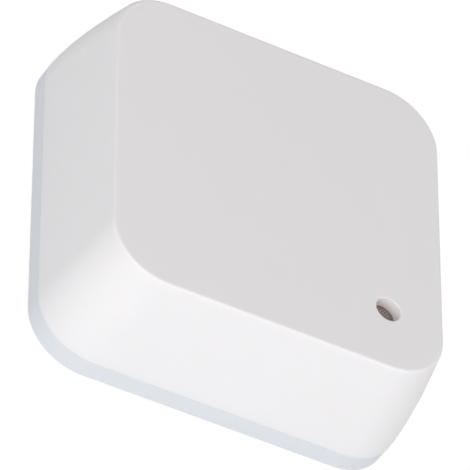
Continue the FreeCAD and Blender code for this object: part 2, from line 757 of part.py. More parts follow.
def make_battery_holder():
    """Open tray with two cradles, finger notches, pegs and slots for the terminals."""
    body = new_body("battery_holder")
    outline = new_sketch(body, "holder_outline", BOARD_BACK)
    draw_box(outline, f"2 * {HOLDER_HALF_WIDTH}", f"2 * {HOLDER_HALF_LENGTH}")
    extrude(body, "Pad", outline, "dim.holder_height", backwards=True)
    for side, sign in (("left", "-"), ("right", "")):
        arch = new_sketch(body, f"cradle_{side}", "0", "XZ_Plane")
        draw_circle(arch, f"2 * {CRADLE_RADIUS}", f"{sign}{CELL_X}", CELL_Z)
        extrude(body, "Pocket", arch, f"2 * {HOLDER_INNER_HALF}", both_ways=True)
        mouth = new_sketch(body, f"mouth_{side}", BOARD_BACK + " - dim.holder_height")
        draw_box(mouth, f"2 * {CRADLE_RADIUS}", f"2 * {HOLDER_INNER_HALF}", f"{sign}{CELL_X}")
        extrude(body, "Pocket", mouth, f"{CELL_Z} - {BOARD_BACK} + dim.holder_height", backwards=True)
    notch = new_sketch(body, "finger_notches", "0", "YZ_Plane")
    low = f"({BOARD_BACK} - dim.holder_height)"
    half_notch = "dim.finger_notch / 2"
    draw_outline(notch, [
        (f"-{half_notch}", low),
        (half_notch, low),
        (f"{half_notch} - dim.holder_wall", CELL_Z),
        (f"dim.holder_wall - {half_notch}", CELL_Z),
    ])
    extrude(body, "Pocket", notch, f"4 * {HOLDER_HALF_WIDTH}", both_ways=True)
    ends = new_sketch(body, "contact_seats", HOLDER_SEAT)
    seat_y = f"({HOLDER_INNER_HALF} - dim.contact_thickness / 2)"
    draw_box(ends, f"2 * {CELL_X} + dim.contact_width", "dim.contact_thickness", "0", seat_y)
    for sign in ("-", ""):
        draw_box(ends, "dim.contact_width", "dim.contact_thickness", f"{sign}{CELL_X}", f"-{seat_y}")
    extrude(body, "Pocket", ends, "dim.holder_height")
    pegs = new_sketch(body, "holder_pegs", BOARD_BACK)
    for x, y in peg_places():
        draw_circle(pegs, "dim.peg_diameter", x, y)
    extrude(body, "Pad", pegs, "dim.board_thickness")
    slots = new_sketch(body, "terminal_slots", HOLDER_SEAT)
    for x, y in tab_places():
        draw_box(slots, "dim.tab_width + 2 * dim.tab_gap", "dim.contact_thickness", x, y)
    extrude(body, "Pocket", slots, "2 * dim.holder_floor", backwards=True)
    return body


def make_contacts():
    """Two flat terminals with solder tabs at one end, and a bridge at the other."""
    seat_y = f"({HOLDER_INNER_HALF} - dim.contact_thickness / 2)"
    plate_z = f"({HOLDER_SEAT} - dim.contact_drop)"
    thick = "dim.contact_thickness"
    bridge_size = (f"2 * {CELL_X} + dim.contact_width", thick, "dim.contact_drop")
    contacts = [block("bridge_contact", bridge_size, ("0", seat_y, plate_z))]
    plate_size = ("dim.contact_width", thick, "dim.contact_drop")
    tab_size = ("dim.tab_width", thick, f"({BOARD_FRONT} - {HOLDER_SEAT} + dim.tab_proud)")
    for name, (x, y) in zip(("negative_terminal", "positive_terminal"), tab_places()):
        plate = block(f"{name}_plate", plate_size, (x, y, plate_z))
        tab = block(f"{name}_tab", tab_size, (x, y, HOLDER_SEAT))
        terminal = doc.addObject("Part::Fuse", name)
        terminal.Base = plate
        terminal.Tool = tab
        contacts.append(terminal)
    return contacts


def biarc(start, start_way, end, end_way):
    """Two arcs that leave one point and reach another in given directions."""
    across = end - start
    both = start_way + end_way
    bend = 2 * (1 - start_way.dot(end_way))
    lean = across.dot(both)
    reach = (math.sqrt(lean * lean + bend * across.dot(across)) - lean) / bend
    joint = (start + end + (start_way - end_way) * reach) / 2
    first_middle = arc_middle(start, start_way, joint)
    last_middle = arc_middle(end, end_way * -1, joint)
    first = Part.Arc(start, first_middle, joint)
    last = Part.Arc(joint, last_middle, end)
    return [first.toShape(), last.toShape()]


def arc_middle(start, way, end):
    """The middle point of the arc that leaves one point in a direction and ends at another."""
    chord = end - start
    half_turn = chord.getAngle(way)
    side = way.cross(chord).cross(chord).normalize() * -1
    if side.dot(way) < 0:
        side = side * -1
    rise = chord.Length / 2 * math.tan(half_turn / 2)
    return (start + end) / 2 + side * rise


def make_spring(name, x, way):
    """Tapered battery spring, wound from its contact plate towards the cell."""
    wire = value("dim.spring_wire")
    base = value("dim.spring_base_radius")
    tip = value("dim.spring_tip_radius")
    climb = value("dim.spring_length") - wire
    steps = int(SPRING_TURNS * BENDS_IN_TURN)
    total = 2 * math.pi * SPRING_TURNS

    def at(share):
        radius = base + (tip - base) * share
        angle = total * share
        return Vector(radius * math.cos(angle), climb * share, radius * math.sin(angle))

    def heading(share):
        radius = base + (tip - base) * share
        angle = total * share
        outward = Vector(math.cos(angle), 0, math.sin(angle))
        around = Vector(-math.sin(angle), 0, math.cos(angle))
        return (outward * (tip - base) + around * radius * total + Vector(0, climb, 0)).normalize()

    edges = []
    for step in range(steps):
        low, high = step / steps, (step + 1) / steps
        edges.extend(biarc(at(low), heading(low), at(high), heading(high)))
    path = Part.Wire(edges)
    section = wire_section(at(0), heading(0), wire / 2)
    solid = path.makePipeShell([section], True, False)
    spring = doc.addObject("Part::Feature", name)
    spring.Shape = solid
    points = [path_point for edge in path.OrderedEdges for path_point in edge.discretize(POINTS_IN_ARC)]
    gap = least_gap(points, wire)
    print(f"{name}: least gap between turns {gap:.2f} mm")
    start_y = f"({HOLDER_INNER_HALF} - dim.contact_thickness - dim.spring_wire / 2)"
    sign = "-" if way > 0 else ""
    place(spring, x, f"{sign}{start_y}", CELL_Z)
    if way < 0:
        spring.Placement.Rotation = FreeCAD.Rotation(Vector(0, 0, 1), ROUND / 2)
    return spring


def wire_section(centre, way, radius):
    """A regular outline about a point of a wire's path, square to the path."""
    across = way.cross(Vector(0, 1, 0)).normalize()
    along = way.cross(across)
    corners = []
    for number in range(WIRE_SIDES + 1):
        angle = 2 * math.pi * number / WIRE_SIDES
        corners.append(centre + across * radius * math.cos(angle) + along * radius * math.sin(angle))
    return Part.makePolygon(corners)


def least_gap(points, wire):
    """The smallest clear space between points of a wire that aren't neighbours along it."""
    half_turn = BENDS_IN_TURN * POINTS_IN_ARC
    least = min((a - b).Length for index, a in enumerate(points) for b in points[index + half_turn:])
    return least - wire


def make_cell(name, x, turned):
    """A small round cell: a metal can with a raised end, in a thin plastic sleeve."""
    radius = "(dim.cell_diameter / 2 - dim.sleeve_thickness - dim.sleeve_gap)"
    nub = "dim.nub_diameter / 2"
    shoulder = "(dim.cell_length - dim.nub_height)"
    can = new_body(name)
    section = new_sketch(can, f"{name}_section", "0", "XY_Plane")
    draw_outline(section, [
        ("0", "0"),
        (radius, "0"),
        (radius, f"{shoulder} - dim.cell_edge"),
        (f"{radius} - dim.cell_edge", shoulder),
        (nub, shoulder),
        (nub, "dim.cell_length"),
        ("0", "dim.cell_length"),
    ])
    revolve(can, "Revolution", section)
    sleeve = new_body(f"{name}_sleeve")
    wrap = new_sketch(sleeve, f"{name}_wrap", "0", "XY_Plane")
    inner = "(dim.cell_diameter / 2 - dim.sleeve_thickness)"
    low = "(dim.cell_edge + dim.sleeve_hem)"
    high = f"({shoulder} - dim.cell_edge - dim.sleeve_hem)"
    outer = "dim.cell_diameter / 2"
    draw_outline(wrap, [(inner, low), (outer, low), (outer, high), (inner, high)])
    revolve(sleeve, "Revolution", wrap)
    tail = f"({HOLDER_INNER_HALF} - dim.contact_thickness - dim.spring_length)"
    for piece in (can, sleeve):
        place(piece, x, tail if turned else f"-{tail}", CELL_Z)
        if turned:
            piece.Placement.Rotation = FreeCAD.Rotation(Vector(0, 0, 1), ROUND / 2)
    return [can, sleeve]


def make_radio():
    """Radio daughterboard on the main board, its pressed shield and a folded antenna trace."""
    board_size = ("dim.radio_board_length", "dim.radio_board_width", "dim.radio_board_thickness")
    board = block("radio_board", board_size, (RADIO_X, "dim.radio_y", BOARD_FRONT))
    top = f"({BOARD_FRONT} + dim.radio_board_thickness)"
    width = "(dim.radio_board_width - 2 * dim.shield_margin)"
    shield_x = f"({RADIO_X} + dim.radio_board_length / 2 - dim.shield_margin - dim.shield_length / 2)"
    at = (shield_x, "dim.radio_y", top)
    skin = "dim.shield_skin"
    can = block("shield_can", ("dim.shield_length", width, "dim.shield_height"), at)
    room_size = (f"dim.shield_length - 2 * {skin}", f"{width} - 2 * {skin}", f"dim.shield_height - {skin}")
    room = block("shield_room", room_size, at)
    shield = doc.addObject("Part::Cut", "radio_shield")
    shield.Base = can
    shield.Tool = room

    antenna = new_body("radio_antenna")
    trace = new_sketch(antenna, "antenna_trace", top)
    left = f"({RADIO_X} - dim.radio_board_length / 2 + dim.antenna_edge)"
    right = f"({left} + dim.antenna_reach)"
    start = "(dim.radio_y - dim.radio_board_width / 2 + dim.antenna_edge)"
    span = "(dim.radio_board_width - 2 * dim.antenna_edge - dim.antenna_trace)"
    folds = int(value(f"{span} / dim.antenna_pitch"))
    draw_outline(trace, folded_strip(left, right, start, folds))
    extrude(antenna, "Pad", trace, "dim.antenna_thickness")
    return [board, shield, antenna]


def folded_strip(left, right, start, folds):
    """Corners of a strip folded back and forth, up one edge of it and back down the other."""
    strip = "dim.antenna_trace"
    going, coming = [(left, start)], [(left, f"({start} + {strip})")]
    for fold in range(folds - 1):
        y = f"({start} + {fold} * dim.antenna_pitch)"
        following = f"({start} + {fold + 1} * dim.antenna_pitch)"
        above, beyond = f"({y} + {strip})", f"({following} + {strip})"
        if fold % 2 == 0:
            inside = f"({right} - {strip})"
            going.extend([(right, y), (right, beyond)])
            coming.extend([(inside, above), (inside, following)])
        else:
            inside = f"({left} + {strip})"
            going.extend([(inside, above), (inside, following)])
            coming.extend([(left, y), (left, beyond)])
    last = f"({start} + {folds - 1} * dim.antenna_pitch)"
    end = right if folds % 2 else left
    if folds % 2:
        going.append((end, last))
        coming.append((end, f"({last} + {strip})"))
    else:
        going.append((end, f"({last} + {strip})"))
        coming.append((end, last))
    return going + coming[::-1]


def make_board_parts():
    """Chips, crystal, capacitors, inductor and status light on the front of the board."""
    parts = []
    for name in BOARD_PARTS:
        size = (f"dim.{name}_length", f"dim.{name}_width", f"dim.{name}_height")
        parts.append(block(name, size, (f"({PARTS_X} + dim.{name}_x)", f"dim.{name}_y", BOARD_FRONT)))
    capacitors = []
    size = ("dim.capacitor_length", "dim.capacitor_width", "dim.capacitor_height")
    for number, (x, y) in enumerate(CAPACITOR_PLACES):
        at = (f"({PARTS_X} + {x})", str(y), BOARD_FRONT)
        capacitors.append(block(f"capacitor_{number}", size, at))
    parts.append(group("ceramic_capacitors", capacitors))
    return parts


def make_switch():
    """Pairing button on the back of the board: case, steel cover, feet and moving plunger."""
    case = new_body("switch_case")
    outline = new_sketch(case, "case_outline", SWITCH_FACE)
    draw_box(outline, "dim.switch_side", "dim.switch_side", SWITCH_X, "dim.switch_y")
    extrude(case, "Pad", outline, "dim.switch_height")
    room = new_sketch(case, "case_room", SWITCH_FACE)
    room_width = "(dim.plunger_diameter + 2 * dim.plunger_flange + 2 * dim.plunger_gap)"
    draw_circle(room, room_width, SWITCH_X, "dim.switch_y")
    extrude(case, "Pocket", room, "dim.plunger_flange_height + 2 * dim.plunger_travel", backwards=True)

    plate = new_body("switch_cover")
    rim = new_sketch(plate, "cover_outline", COVER_FACE)
    draw_box(rim, "dim.switch_side", "dim.switch_side", SWITCH_X, "dim.switch_y")
    draw_circle(rim, "dim.plunger_diameter + 2 * dim.plunger_gap", SWITCH_X, "dim.switch_y")
    extrude(plate, "Pad", rim, "dim.cover_thickness")

    shaft = "dim.plunger_diameter / 2"
    flange = f"({shaft} + dim.plunger_flange)"
    seat = "(dim.plunger_proud + dim.cover_thickness + dim.plunger_gap / 2)"
    plunger = make_turned("button_plunger", [
        ("0", "0"),
        (f"{shaft} - dim.plunger_rounding", "0"),
        (shaft, "dim.plunger_rounding"),
        (shaft, seat),
        (flange, seat),
        (flange, f"{seat} + dim.plunger_flange_height"),
        ("0", f"{seat} + dim.plunger_flange_height"),
    ], SWITCH_X, "dim.switch_y", f"{COVER_FACE} - dim.plunger_proud")

    feet = []
    for number, (side, end) in enumerate(((-1, -1), (-1, 1), (1, -1), (1, 1))):
        x = f"({SWITCH_X} + {side} * (dim.switch_side + dim.foot_length) / 2)"
        y = f"(dim.switch_y + {end} * dim.foot_pitch / 2)"
        size = ("dim.foot_length", "dim.foot_width", "dim.foot_thickness")
        feet.append(block(f"foot_{number}", size, (x, y, f"{BOARD_BACK} - dim.foot_thickness")))
    return [case, plate, plunger, group("switch_feet", feet)]


def make_amplifier_feet():
    """Short metal feet along both sides of the amplifier chip."""
    feet = []
    for number in range(AMPLIFIER_FEET):
        side = -1 if number % 2 else 1
        column = number // 2 - (AMPLIFIER_FEET / 2 - 1) / 2
        x = f"({PARTS_X} + dim.amplifier_chip_x + {column} * dim.amplifier_chip_length / 4)"
        y = f"(dim.amplifier_chip_y + {side} * (dim.amplifier_chip_width + dim.foot_length) / 2)"
        size = ("dim.chip_foot_width", "dim.foot_length", "dim.foot_thickness")
        feet.append(block(f"chip_foot_{number}", size, (x, y, BOARD_FRONT)))
    return group("amplifier_feet", feet)


pieces = [make_back_plate(), make_adhesive_pad(), make_front_housing(), make_window(), make_retainer()]
pieces += make_detector()
pieces.append(make_pins())
pieces.append(make_circuit_board())
pieces.append(make_screws())
pieces.append(make_battery_holder())
pieces += make_contacts()
pieces.append(make_spring("negative_spring", f"-{CELL_X}", 1))
pieces.append(make_spring("bridge_spring", CELL_X, -1))
pieces += make_cell("left_cell", f"-{CELL_X}", False)
pieces += make_cell("right_cell", CELL_X, True)
pieces += make_radio()
pieces += make_board_parts()
pieces += make_switch()
pieces.append(make_amplifier_feet())
doc.recompute()

for item in doc.Objects:
    if "Invalid" in item.State or "Error" in item.State:
        raise ValueError(f"{item.Label} failed: {item.State}")
os.makedirs("parts", exist_ok=True)
for piece in pieces:
    shape = piece.Shape
    if shape.isNull() or not shape.isValid():
        raise ValueError(f"{piece.Label} has no valid shape")
    shape.exportStep(os.path.join("parts", f"{piece.Label}.step"))
    print(f"{piece.Label}: {len(shape.Solids)} solids, {shape.Volume:.1f} mm3")
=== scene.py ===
import bmesh
import bpy
import contextlib
import math
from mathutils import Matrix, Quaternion, Vector


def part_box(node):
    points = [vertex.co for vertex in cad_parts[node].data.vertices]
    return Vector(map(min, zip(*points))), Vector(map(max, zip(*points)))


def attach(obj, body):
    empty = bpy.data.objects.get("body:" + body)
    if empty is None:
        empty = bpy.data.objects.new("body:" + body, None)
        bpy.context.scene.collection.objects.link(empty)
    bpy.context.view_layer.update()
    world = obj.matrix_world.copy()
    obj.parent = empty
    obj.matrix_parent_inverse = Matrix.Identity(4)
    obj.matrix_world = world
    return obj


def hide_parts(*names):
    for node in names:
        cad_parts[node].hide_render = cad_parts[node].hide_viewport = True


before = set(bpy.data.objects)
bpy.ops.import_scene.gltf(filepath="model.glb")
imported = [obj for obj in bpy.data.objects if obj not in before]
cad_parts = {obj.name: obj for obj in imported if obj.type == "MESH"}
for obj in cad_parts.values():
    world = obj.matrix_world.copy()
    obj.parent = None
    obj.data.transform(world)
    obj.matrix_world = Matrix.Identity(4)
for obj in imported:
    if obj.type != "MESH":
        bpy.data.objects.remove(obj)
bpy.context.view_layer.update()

mm = 0.001

# The back plate is one moulding in a pale blue-grey plastic. Its rim is flush with the housing
# and shows as a thin band. Inside the rim stand a locating lip and eight snap tongues, its back
# has a recess for the adhesive pad, and two countersunk holes take wall screws.
plate_low, plate_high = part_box("back_plate")
housing_low, housing_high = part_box("front_housing")
pad_low, pad_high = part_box("adhesive_pad")
body_half = plate_high[0]
plate_back = plate_low[2]
parting = housing_low[2]
tongue_top = plate_high[2]
plate_floor = plate_back + 1.7 * mm
front = housing_high[2]
body_bend = 8.9 * mm
face_inset = 2.5 * mm
lean_power = 1.45
housing_wall = 1.8 * mm
lip_gap = 0.2 * mm
lip_thickness = 1.15 * mm
lip_outer = body_half - housing_wall - lip_gap
lip_inner = lip_outer - lip_thickness
lip_bend = body_bend - housing_wall - lip_gap
lip_top = parting + 1.75 * mm
lip_edge = 0.2 * mm
plate_edge = 0.2 * mm
seam_edge = 0.1 * mm
corner_steps = 24
quarter = math.pi / 2


def wall_half(level):
    """Half the housing's outside width at a level, where its walls lean in towards the face."""
    return body_half - face_inset * ((level - parting) / (front - parting)) ** lean_power


def only(piece):
    """Select one object alone and make it the active one."""
    bpy.ops.object.select_all(action="DESELECT")
    piece.select_set(True)
    bpy.context.view_layer.objects.active = piece


def added(primitive, **settings):
    """A new primitive, selected alone."""
    bpy.ops.object.select_all(action="DESELECT")
    primitive(**settings)
    return bpy.context.active_object


def settle(piece):
    """Put a piece's place into its mesh."""
    only(piece)
    bpy.ops.object.transform_apply(location=True, rotation=True, scale=True)


@contextlib.contextmanager
def shaping(piece):
    """Work on one piece's mesh in edit mode, with all of it selected at first."""
    only(piece)
    bpy.ops.object.mode_set(mode="EDIT")
    bpy.ops.mesh.select_all(action="SELECT")
    yield
    bpy.ops.object.mode_set(mode="OBJECT")


def pick(kind, keep):
    """In edit mode, select the points, edges or faces that a test keeps."""
    bpy.ops.mesh.select_mode(type=kind)
    bpy.ops.mesh.select_all(action="DESELECT")
    mesh = bpy.context.active_object.data
    shape = bmesh.from_edit_mesh(mesh)
    for part in {"VERT": shape.verts, "EDGE": shape.edges, "FACE": shape.faces}[kind]:
        part.select = keep(part)
    shape.select_flush_mode()
    bmesh.update_edit_mesh(mesh)


def pull(x, y, z):
    """In edit mode, extrude what is selected."""
    bpy.ops.mesh.extrude_region_move(TRANSFORM_OT_translate={"value": (x, y, z)})


def widen(share_x, share_y, centre):
    """In edit mode, resize what is selected across, about a centre."""
    bpy.ops.transform.resize(value=(share_x, share_y, 1), center_override=centre)


def face_outwards():
    """In edit mode, turn all faces outwards."""
    bpy.ops.mesh.select_all(action="SELECT")
    bpy.ops.mesh.normals_make_consistent(inside=False)


def loft(rings):
    """A closed skin through round squares, each given as half its width, its bend and its level."""
    first_half, first_bend, first_level = rings[0]
    piece = added(bpy.ops.mesh.primitive_plane_add, size=2 * first_half,
                  location=(0, 0, first_level))
    settle(piece)
    with shaping(piece):
        bpy.ops.mesh.bevel(affect="VERTICES", offset=first_bend, segments=corner_steps)
        for (last_half, last_bend, low), (half, bend, level) in zip(rings, rings[1:]):
            pull(0, 0, level - low)
            shape = bmesh.from_edit_mesh(piece.data)
            for point in shape.verts:
                if point.select:
                    for axis in (0, 1):
                        along_bend = (abs(point.co[axis]) - last_half + last_bend) / last_bend
                        place = half - bend + bend * along_bend
                        point.co[axis] = math.copysign(place, point.co[axis])
            bmesh.update_edit_mesh(piece.data)
        face_outwards()
    return piece


def rounding(half, bend, level, radius, start, end, steps):
    """Rings that follow a rounded edge about a centre that lies a radius inside and below it."""
    rings = []
    for step in range(steps + 1):
        angle = start + (end - start) * step / steps
        out = radius * math.cos(angle)
        rings.append((half - radius + out, bend - radius + out, level + radius * math.sin(angle)))
    return rings


def set_up(thing, **settings):
    """Give something its settings."""
    for setting, value in settings.items():
        setattr(thing, setting, value)
    return thing


def new_object(name, data):
    """A new object in the scene."""
    thing = bpy.data.objects.new(name, data)
    bpy.context.scene.collection.objects.link(thing)
    return thing


def slab(half, bend, low, high, edge, steps):
    """A flat round square whose edges are rounded all round."""
    rings = rounding(half, bend, low + edge, edge, -quarter, 0, steps)
    return loft(rings + rounding(half, bend, high - edge, edge, 0, quarter, steps))


def modify(piece, kind, **settings):
    """Give a piece a modifier and apply it."""
    only(piece)
    set_up(piece.modifiers.new(kind, kind), **settings)
    bpy.ops.object.modifier_apply(modifier=kind)


def joined(pieces):
    """Several objects as one mesh."""
    bpy.ops.object.select_all(action="DESELECT")
    for piece in pieces:
        piece.select_set(True)
    bpy.context.view_layer.objects.active = pieces[0]
    bpy.ops.object.join()
    return pieces[0]


def combine(piece, operation, tools):
    """Put tools and a piece together by a boolean operation, and remove the tools."""
    tool = joined(tools) if len(tools) > 1 else tools[0]
    modify(piece, "BOOLEAN", operation=operation, solver="EXACT", use_self=operation == "UNION",
           object=tool)
    bpy.data.objects.remove(tool)


def cut(piece, *tools):
    """Cut tools out of a piece."""
    combine(piece, "DIFFERENCE", tools)


def weld(piece, *additions):
    """Make additions one with a piece."""
    combine(piece, "UNION", additions)


def copies(piece, places):
    """A copy of a piece, with its own mesh, at each turn about the upright axis and each shift."""
    settle(piece)
    made = []
    for turn, shift in places:
        copy = new_object("copy", piece.data.copy())
        copy.rotation_euler[2] = turn
        copy.location = shift
        settle(copy)
        made.append(copy)
    bpy.data.objects.remove(piece)
    return made


def four_sides(piece):
    """A copy of a piece on each of the body's four sides."""
    return copies(piece, [(quarter * turn, (0, 0, 0)) for turn in range(4)])


def finish(piece, name, material, slot, *nodes, body="sensor_unit", angle=40.0):
    """Close and shade a piece, paint it, hang it on its body and let it stand for its nodes."""
    piece.name = name
    settle(piece)
    with shaping(piece):
        bpy.ops.mesh.remove_doubles(threshold=0.001 * mm)
        face_outwards()
    bpy.ops.object.shade_smooth_by_angle(angle=math.radians(angle))
    modify(piece, "WEIGHTED_NORMAL", keep_sharp=True)
    piece.data.materials.clear()
    piece.data.materials.append(material)
    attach(piece, body)
    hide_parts(*nodes)


def fill(node, inputs):
    """Link a node's inputs to other nodes' results, or set them, and give its outputs."""
    for name, value in inputs.items():
        if isinstance(value, bpy.types.NodeSocket):
            node.id_data.links.new(value, node.inputs[name])
        else:
            node.inputs[name].default_value = value
    return node.outputs


def new_node(kind, inputs, tree=None, **settings):
    """The outputs of a new node, in a given tree or in the one that its inputs come from."""
    for value in inputs.values():
        if isinstance(value, bpy.types.NodeSocket):
            tree = value.id_data
    return fill(set_up(tree.nodes.new("ShaderNode" + kind), **settings), inputs)


def new_material(name):
    """A new material, and the piece's own coordinates."""
    material = bpy.data.materials.new(name)
    material.use_nodes = True
    return material, new_node("TexCoord", {}, material.node_tree)["Object"]


def painted(material, inputs):
    """A material whose shader gets some inputs."""
    fill(material.node_tree.nodes["Principled BSDF"], inputs)
    return material


def noise(coordinates, grain, detail=3.0):
    """A noise whose spots are about one grain across."""
    inputs = {"Scale": 1.0 / grain, "Detail": detail, "Vector": coordinates}
    return new_node("TexNoise", inputs)["Fac"]


def between(share, low, high):
    """A number between two values."""
    return new_node("MapRange", {"To Min": low, "To Max": high, "Value": share})["Result"]


def blend(share, below, colour):
    """A colour laid over another one, or over another node's, by a share."""
    if not isinstance(below, bpy.types.NodeSocket):
        below = (*below, 1.0)
    inputs = {"Factor": share, 6: below, 7: (*colour, 1.0)}
    return new_node("Mix", inputs, data_type="RGBA")[2]


def shades(share, colour, low, high):
    """A colour that varies between two brightnesses."""
    darker, lighter = ([level * channel for channel in colour] for level in (low, high))
    return blend(share, darker, lighter)


def relief(share, height):
    """A fine relief of some height."""
    return new_node("Bump", {"Distance": height, "Height": share})["Normal"]


def moulded_plastic(name, colour, roughness, grain, height):
    """Satin moulded plastic, with a fine grain from its tool and a colour that hardly varies."""
    material, coordinates = new_material(name)
    fine = noise(coordinates, grain)
    return painted(material, {
        "Base Color": shades(noise(coordinates, 9 * mm, 1.0), colour, 0.985, 1.0),
        "Roughness": between(fine, roughness - 0.05, roughness + 0.05),
        "Normal": relief(fine, height),
    })


rim_rings = rounding(body_half, body_bend, plate_back + plate_edge, plate_edge, -quarter, 0, 5)
rim_rings += rounding(body_half, body_bend, parting - seam_edge, seam_edge, 0, quarter, 3)
rim_rings.append((lip_outer, lip_bend, parting))
rim_rings += rounding(lip_outer, lip_bend, lip_top - lip_edge, lip_edge, 0, quarter, 3)
inner_bend = lip_bend - lip_thickness
inner_edge = rounding(lip_inner, inner_bend, lip_top - lip_edge, -lip_edge, 0, -quarter, 3)
rim_rings += inner_edge[::-1]
rim_rings.append((lip_inner, inner_bend, plate_floor))
back_plate = loft(rim_rings)

tongue_width = 7.0 * mm
tongue_thickness = 1.2 * mm
tongue_side = body_half - body_bend - 4.5 * mm
tongue_outer = wall_half(tongue_top) - housing_wall - 0.15 * mm
tongue_height = tongue_top - plate_floor
barb_bottom = tongue_top - 1.8 * mm
barb_reach = 0.55 * mm
barb_tip = barb_bottom + barb_reach
barb_end = barb_tip + 0.3 * mm
tongue_edge = 0.12 * mm
tongue = added(bpy.ops.mesh.primitive_cube_add, size=1.0)
tongue.scale = (tongue_thickness, tongue_width, tongue_height)
tongue.location = (tongue_outer - tongue_thickness / 2, tongue_side, plate_floor + tongue_height / 2)
settle(tongue)
with shaping(tongue):
    for level in (barb_bottom, barb_tip, barb_end):
        bpy.ops.mesh.select_all(action="SELECT")
        bpy.ops.mesh.bisect(plane_co=(0, 0, level), plane_no=(0, 0, 1))
    pick("VERT", lambda point: point.co.x > tongue_outer - lip_edge
         and barb_bottom + lip_edge < point.co.z < tongue_top - lip_edge)
    bpy.ops.transform.translate(value=(barb_reach, 0, 0))
modify(tongue, "BEVEL", width=tongue_edge, segments=2)
tongue, other_tongue = copies(tongue, [(0, (0, 0, 0)), (0, (0, -2 * tongue_side, 0))])
weld(back_plate, *four_sides(tongue), *four_sides(other_tongue))

pad_gap = 0.3 * mm
recess_half = pad_high[0] + pad_gap
recess_bend = 4.3 * mm
recess_levels = (plate_back - pad_gap, pad_high[2])
cut(back_plate, loft([(recess_half, recess_bend, level) for level in recess_levels]))

screw_hole = 1.8 * mm
screw_sink = 3.1 * mm
screw_spacing = 42.0 * mm
sink_spare = 0.1 * mm
sink_depth = screw_sink - screw_hole + sink_spare
for side in (-1, 1):
    place_x = side * screw_spacing / 2
    cut(back_plate, added(bpy.ops.mesh.primitive_cylinder_add, vertices=64, radius=screw_hole,
                          depth=6 * mm, location=(place_x, 0, plate_floor)))
    sink_place = (place_x, 0, plate_floor + sink_spare - sink_depth / 2)
    cut(back_plate, added(bpy.ops.mesh.primitive_cone_add, vertices=64, radius1=screw_hole,
                          radius2=screw_sink + sink_spare, depth=sink_depth, location=sink_place))
plate_blue_grey = (0.72, 0.741, 0.773)
plate_plastic = moulded_plastic(
    "pale_blue_grey_plastic", plate_blue_grey, 0.42, 0.2 * mm, 0.002 * mm)
finish(back_plate, "moulded_back_plate", plate_plastic, "plate_plastic", "back_plate",
       body="mounting_plate")

# The adhesive pad is a square of dark closed-cell foam, stuck in the recess. It stands a little
# proud of the plate, and its die-cut edge bulges slightly.
pad_bend = 4.0 * mm
pad_edge = 0.12 * mm
adhesive_pad = slab(pad_high[0], pad_bend, pad_low[2], pad_high[2], pad_edge, 3)


def foam(name, colour, cell):
    """Matt closed-cell foam, pitted by its cut cells."""
    material, coordinates = new_material(name)
    cells = new_node("TexVoronoi", {"Scale": 1.0 / cell, "Vector": coordinates})["Distance"]
    return painted(material, {
        "Base Color": shades(cells, colour, 0.6, 1.0),
        "Roughness": 0.9,
        "Normal": relief(cells, 0.05 * mm),
    })


dark_foam = foam("dark_closed_cell_foam", (0.055, 0.055, 0.06), 0.3 * mm)
finish(adhesive_pad, "foam_adhesive_pad", dark_foam, "foam", "adhesive_pad", body="mounting_plate")

# The front housing is one white moulding with a fine satin grain: a flat square face with round
# corners and a small rounded edge, and side walls that curve outwards towards the back. Inside
# are the collar of the window, three screw bosses, stiffening ribs, board rests and snap catches.
front_bend = 8.65 * mm
face_edge = 0.4 * mm
face_wall = 2.0 * mm
face_back = front - face_wall
edge_start = front - face_edge
wall_bands = 14
edge_bands = 8


def wall_ring(level, inside):
    """The round square of the side walls at a level, or a distance inside it."""
    rise = (level - parting) / (front - parting)
    return (wall_half(level) - inside, body_bend + (front_bend - body_bend) * rise - inside, level)


shell_rings = []
for step in range(wall_bands + 1):
    level = face_back + (parting - face_back) * step / wall_bands
    shell_rings.append(wall_ring(level, housing_wall))
shell_rings += rounding(body_half, body_bend, parting + seam_edge, seam_edge, -quarter, 0, 3)
for step in range(1, wall_bands):
    shell_rings.append(wall_ring(parting + (edge_start - parting) * step / wall_bands, 0))
for step in range(edge_bands + 1):
    angle = quarter * step / edge_bands
    inside = face_edge * (1 - math.cos(angle))
    shell_rings.append(wall_ring(edge_start + face_edge * math.sin(angle), inside))
housing = loft(shell_rings)

board_low, board_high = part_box("circuit_board")
window_low, window_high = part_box("sensor_window")


def centre_of(low, high):
    """The x and y of a box's centre."""
    return (low[0] + high[0]) / 2, (low[1] + high[1]) / 2


def levels(node):
    """The levels of a node's back and front."""
    low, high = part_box(node)
    return low[2], high[2]


def upright(radius, low, high, x, y, points=64):
    """An upright cylinder between two levels."""
    drum = added(bpy.ops.mesh.primitive_cylinder_add, vertices=points, radius=radius,
                 depth=high - low, location=(x, y, (low + high) / 2))
    settle(drum)
    return drum


def brick(length, width, low, high, x, y):
    """A block between two levels."""
    block = added(bpy.ops.mesh.primitive_cube_add, size=1.0, location=(x, y, (low + high) / 2))
    block.scale = (length, width, high - low)
    settle(block)
    return block


window_x, window_y = centre_of(window_low, window_high)
root = 0.5 * mm
rooted = face_back + root
collar_outer = 4.2 * mm
collar_inner = 3.1 * mm
collar_height = 2.4 * mm
collar = upright(collar_outer, face_back - collar_height, rooted, window_x, window_y)
cut(collar, upright(collar_inner, face_back - 3.0 * mm, face_back, window_x, window_y))
boss_at = board_high[0] - 5.0 * mm
boss_radius = 2.5 * mm
boss_bore = 1.0 * mm
boss_depth = 3.3 * mm
screw_places = [(-boss_at, boss_at), (boss_at, boss_at), (-boss_at, -boss_at)]
bosses = []
for x, y in screw_places:
    boss = upright(boss_radius, board_high[2], rooted, x, y)
    cut(boss, upright(boss_bore, board_low[2], board_high[2] + boss_depth, x, y))
    bosses.append(boss)
rib_length = 26.0 * mm
rib_width = 0.8 * mm
rib_low = face_back - 0.6 * mm
ribs = [brick(rib_length, rib_width, rib_low, rooted, 0, 0),
        brick(rib_width, rib_length, rib_low, rooted, 0, 0)]
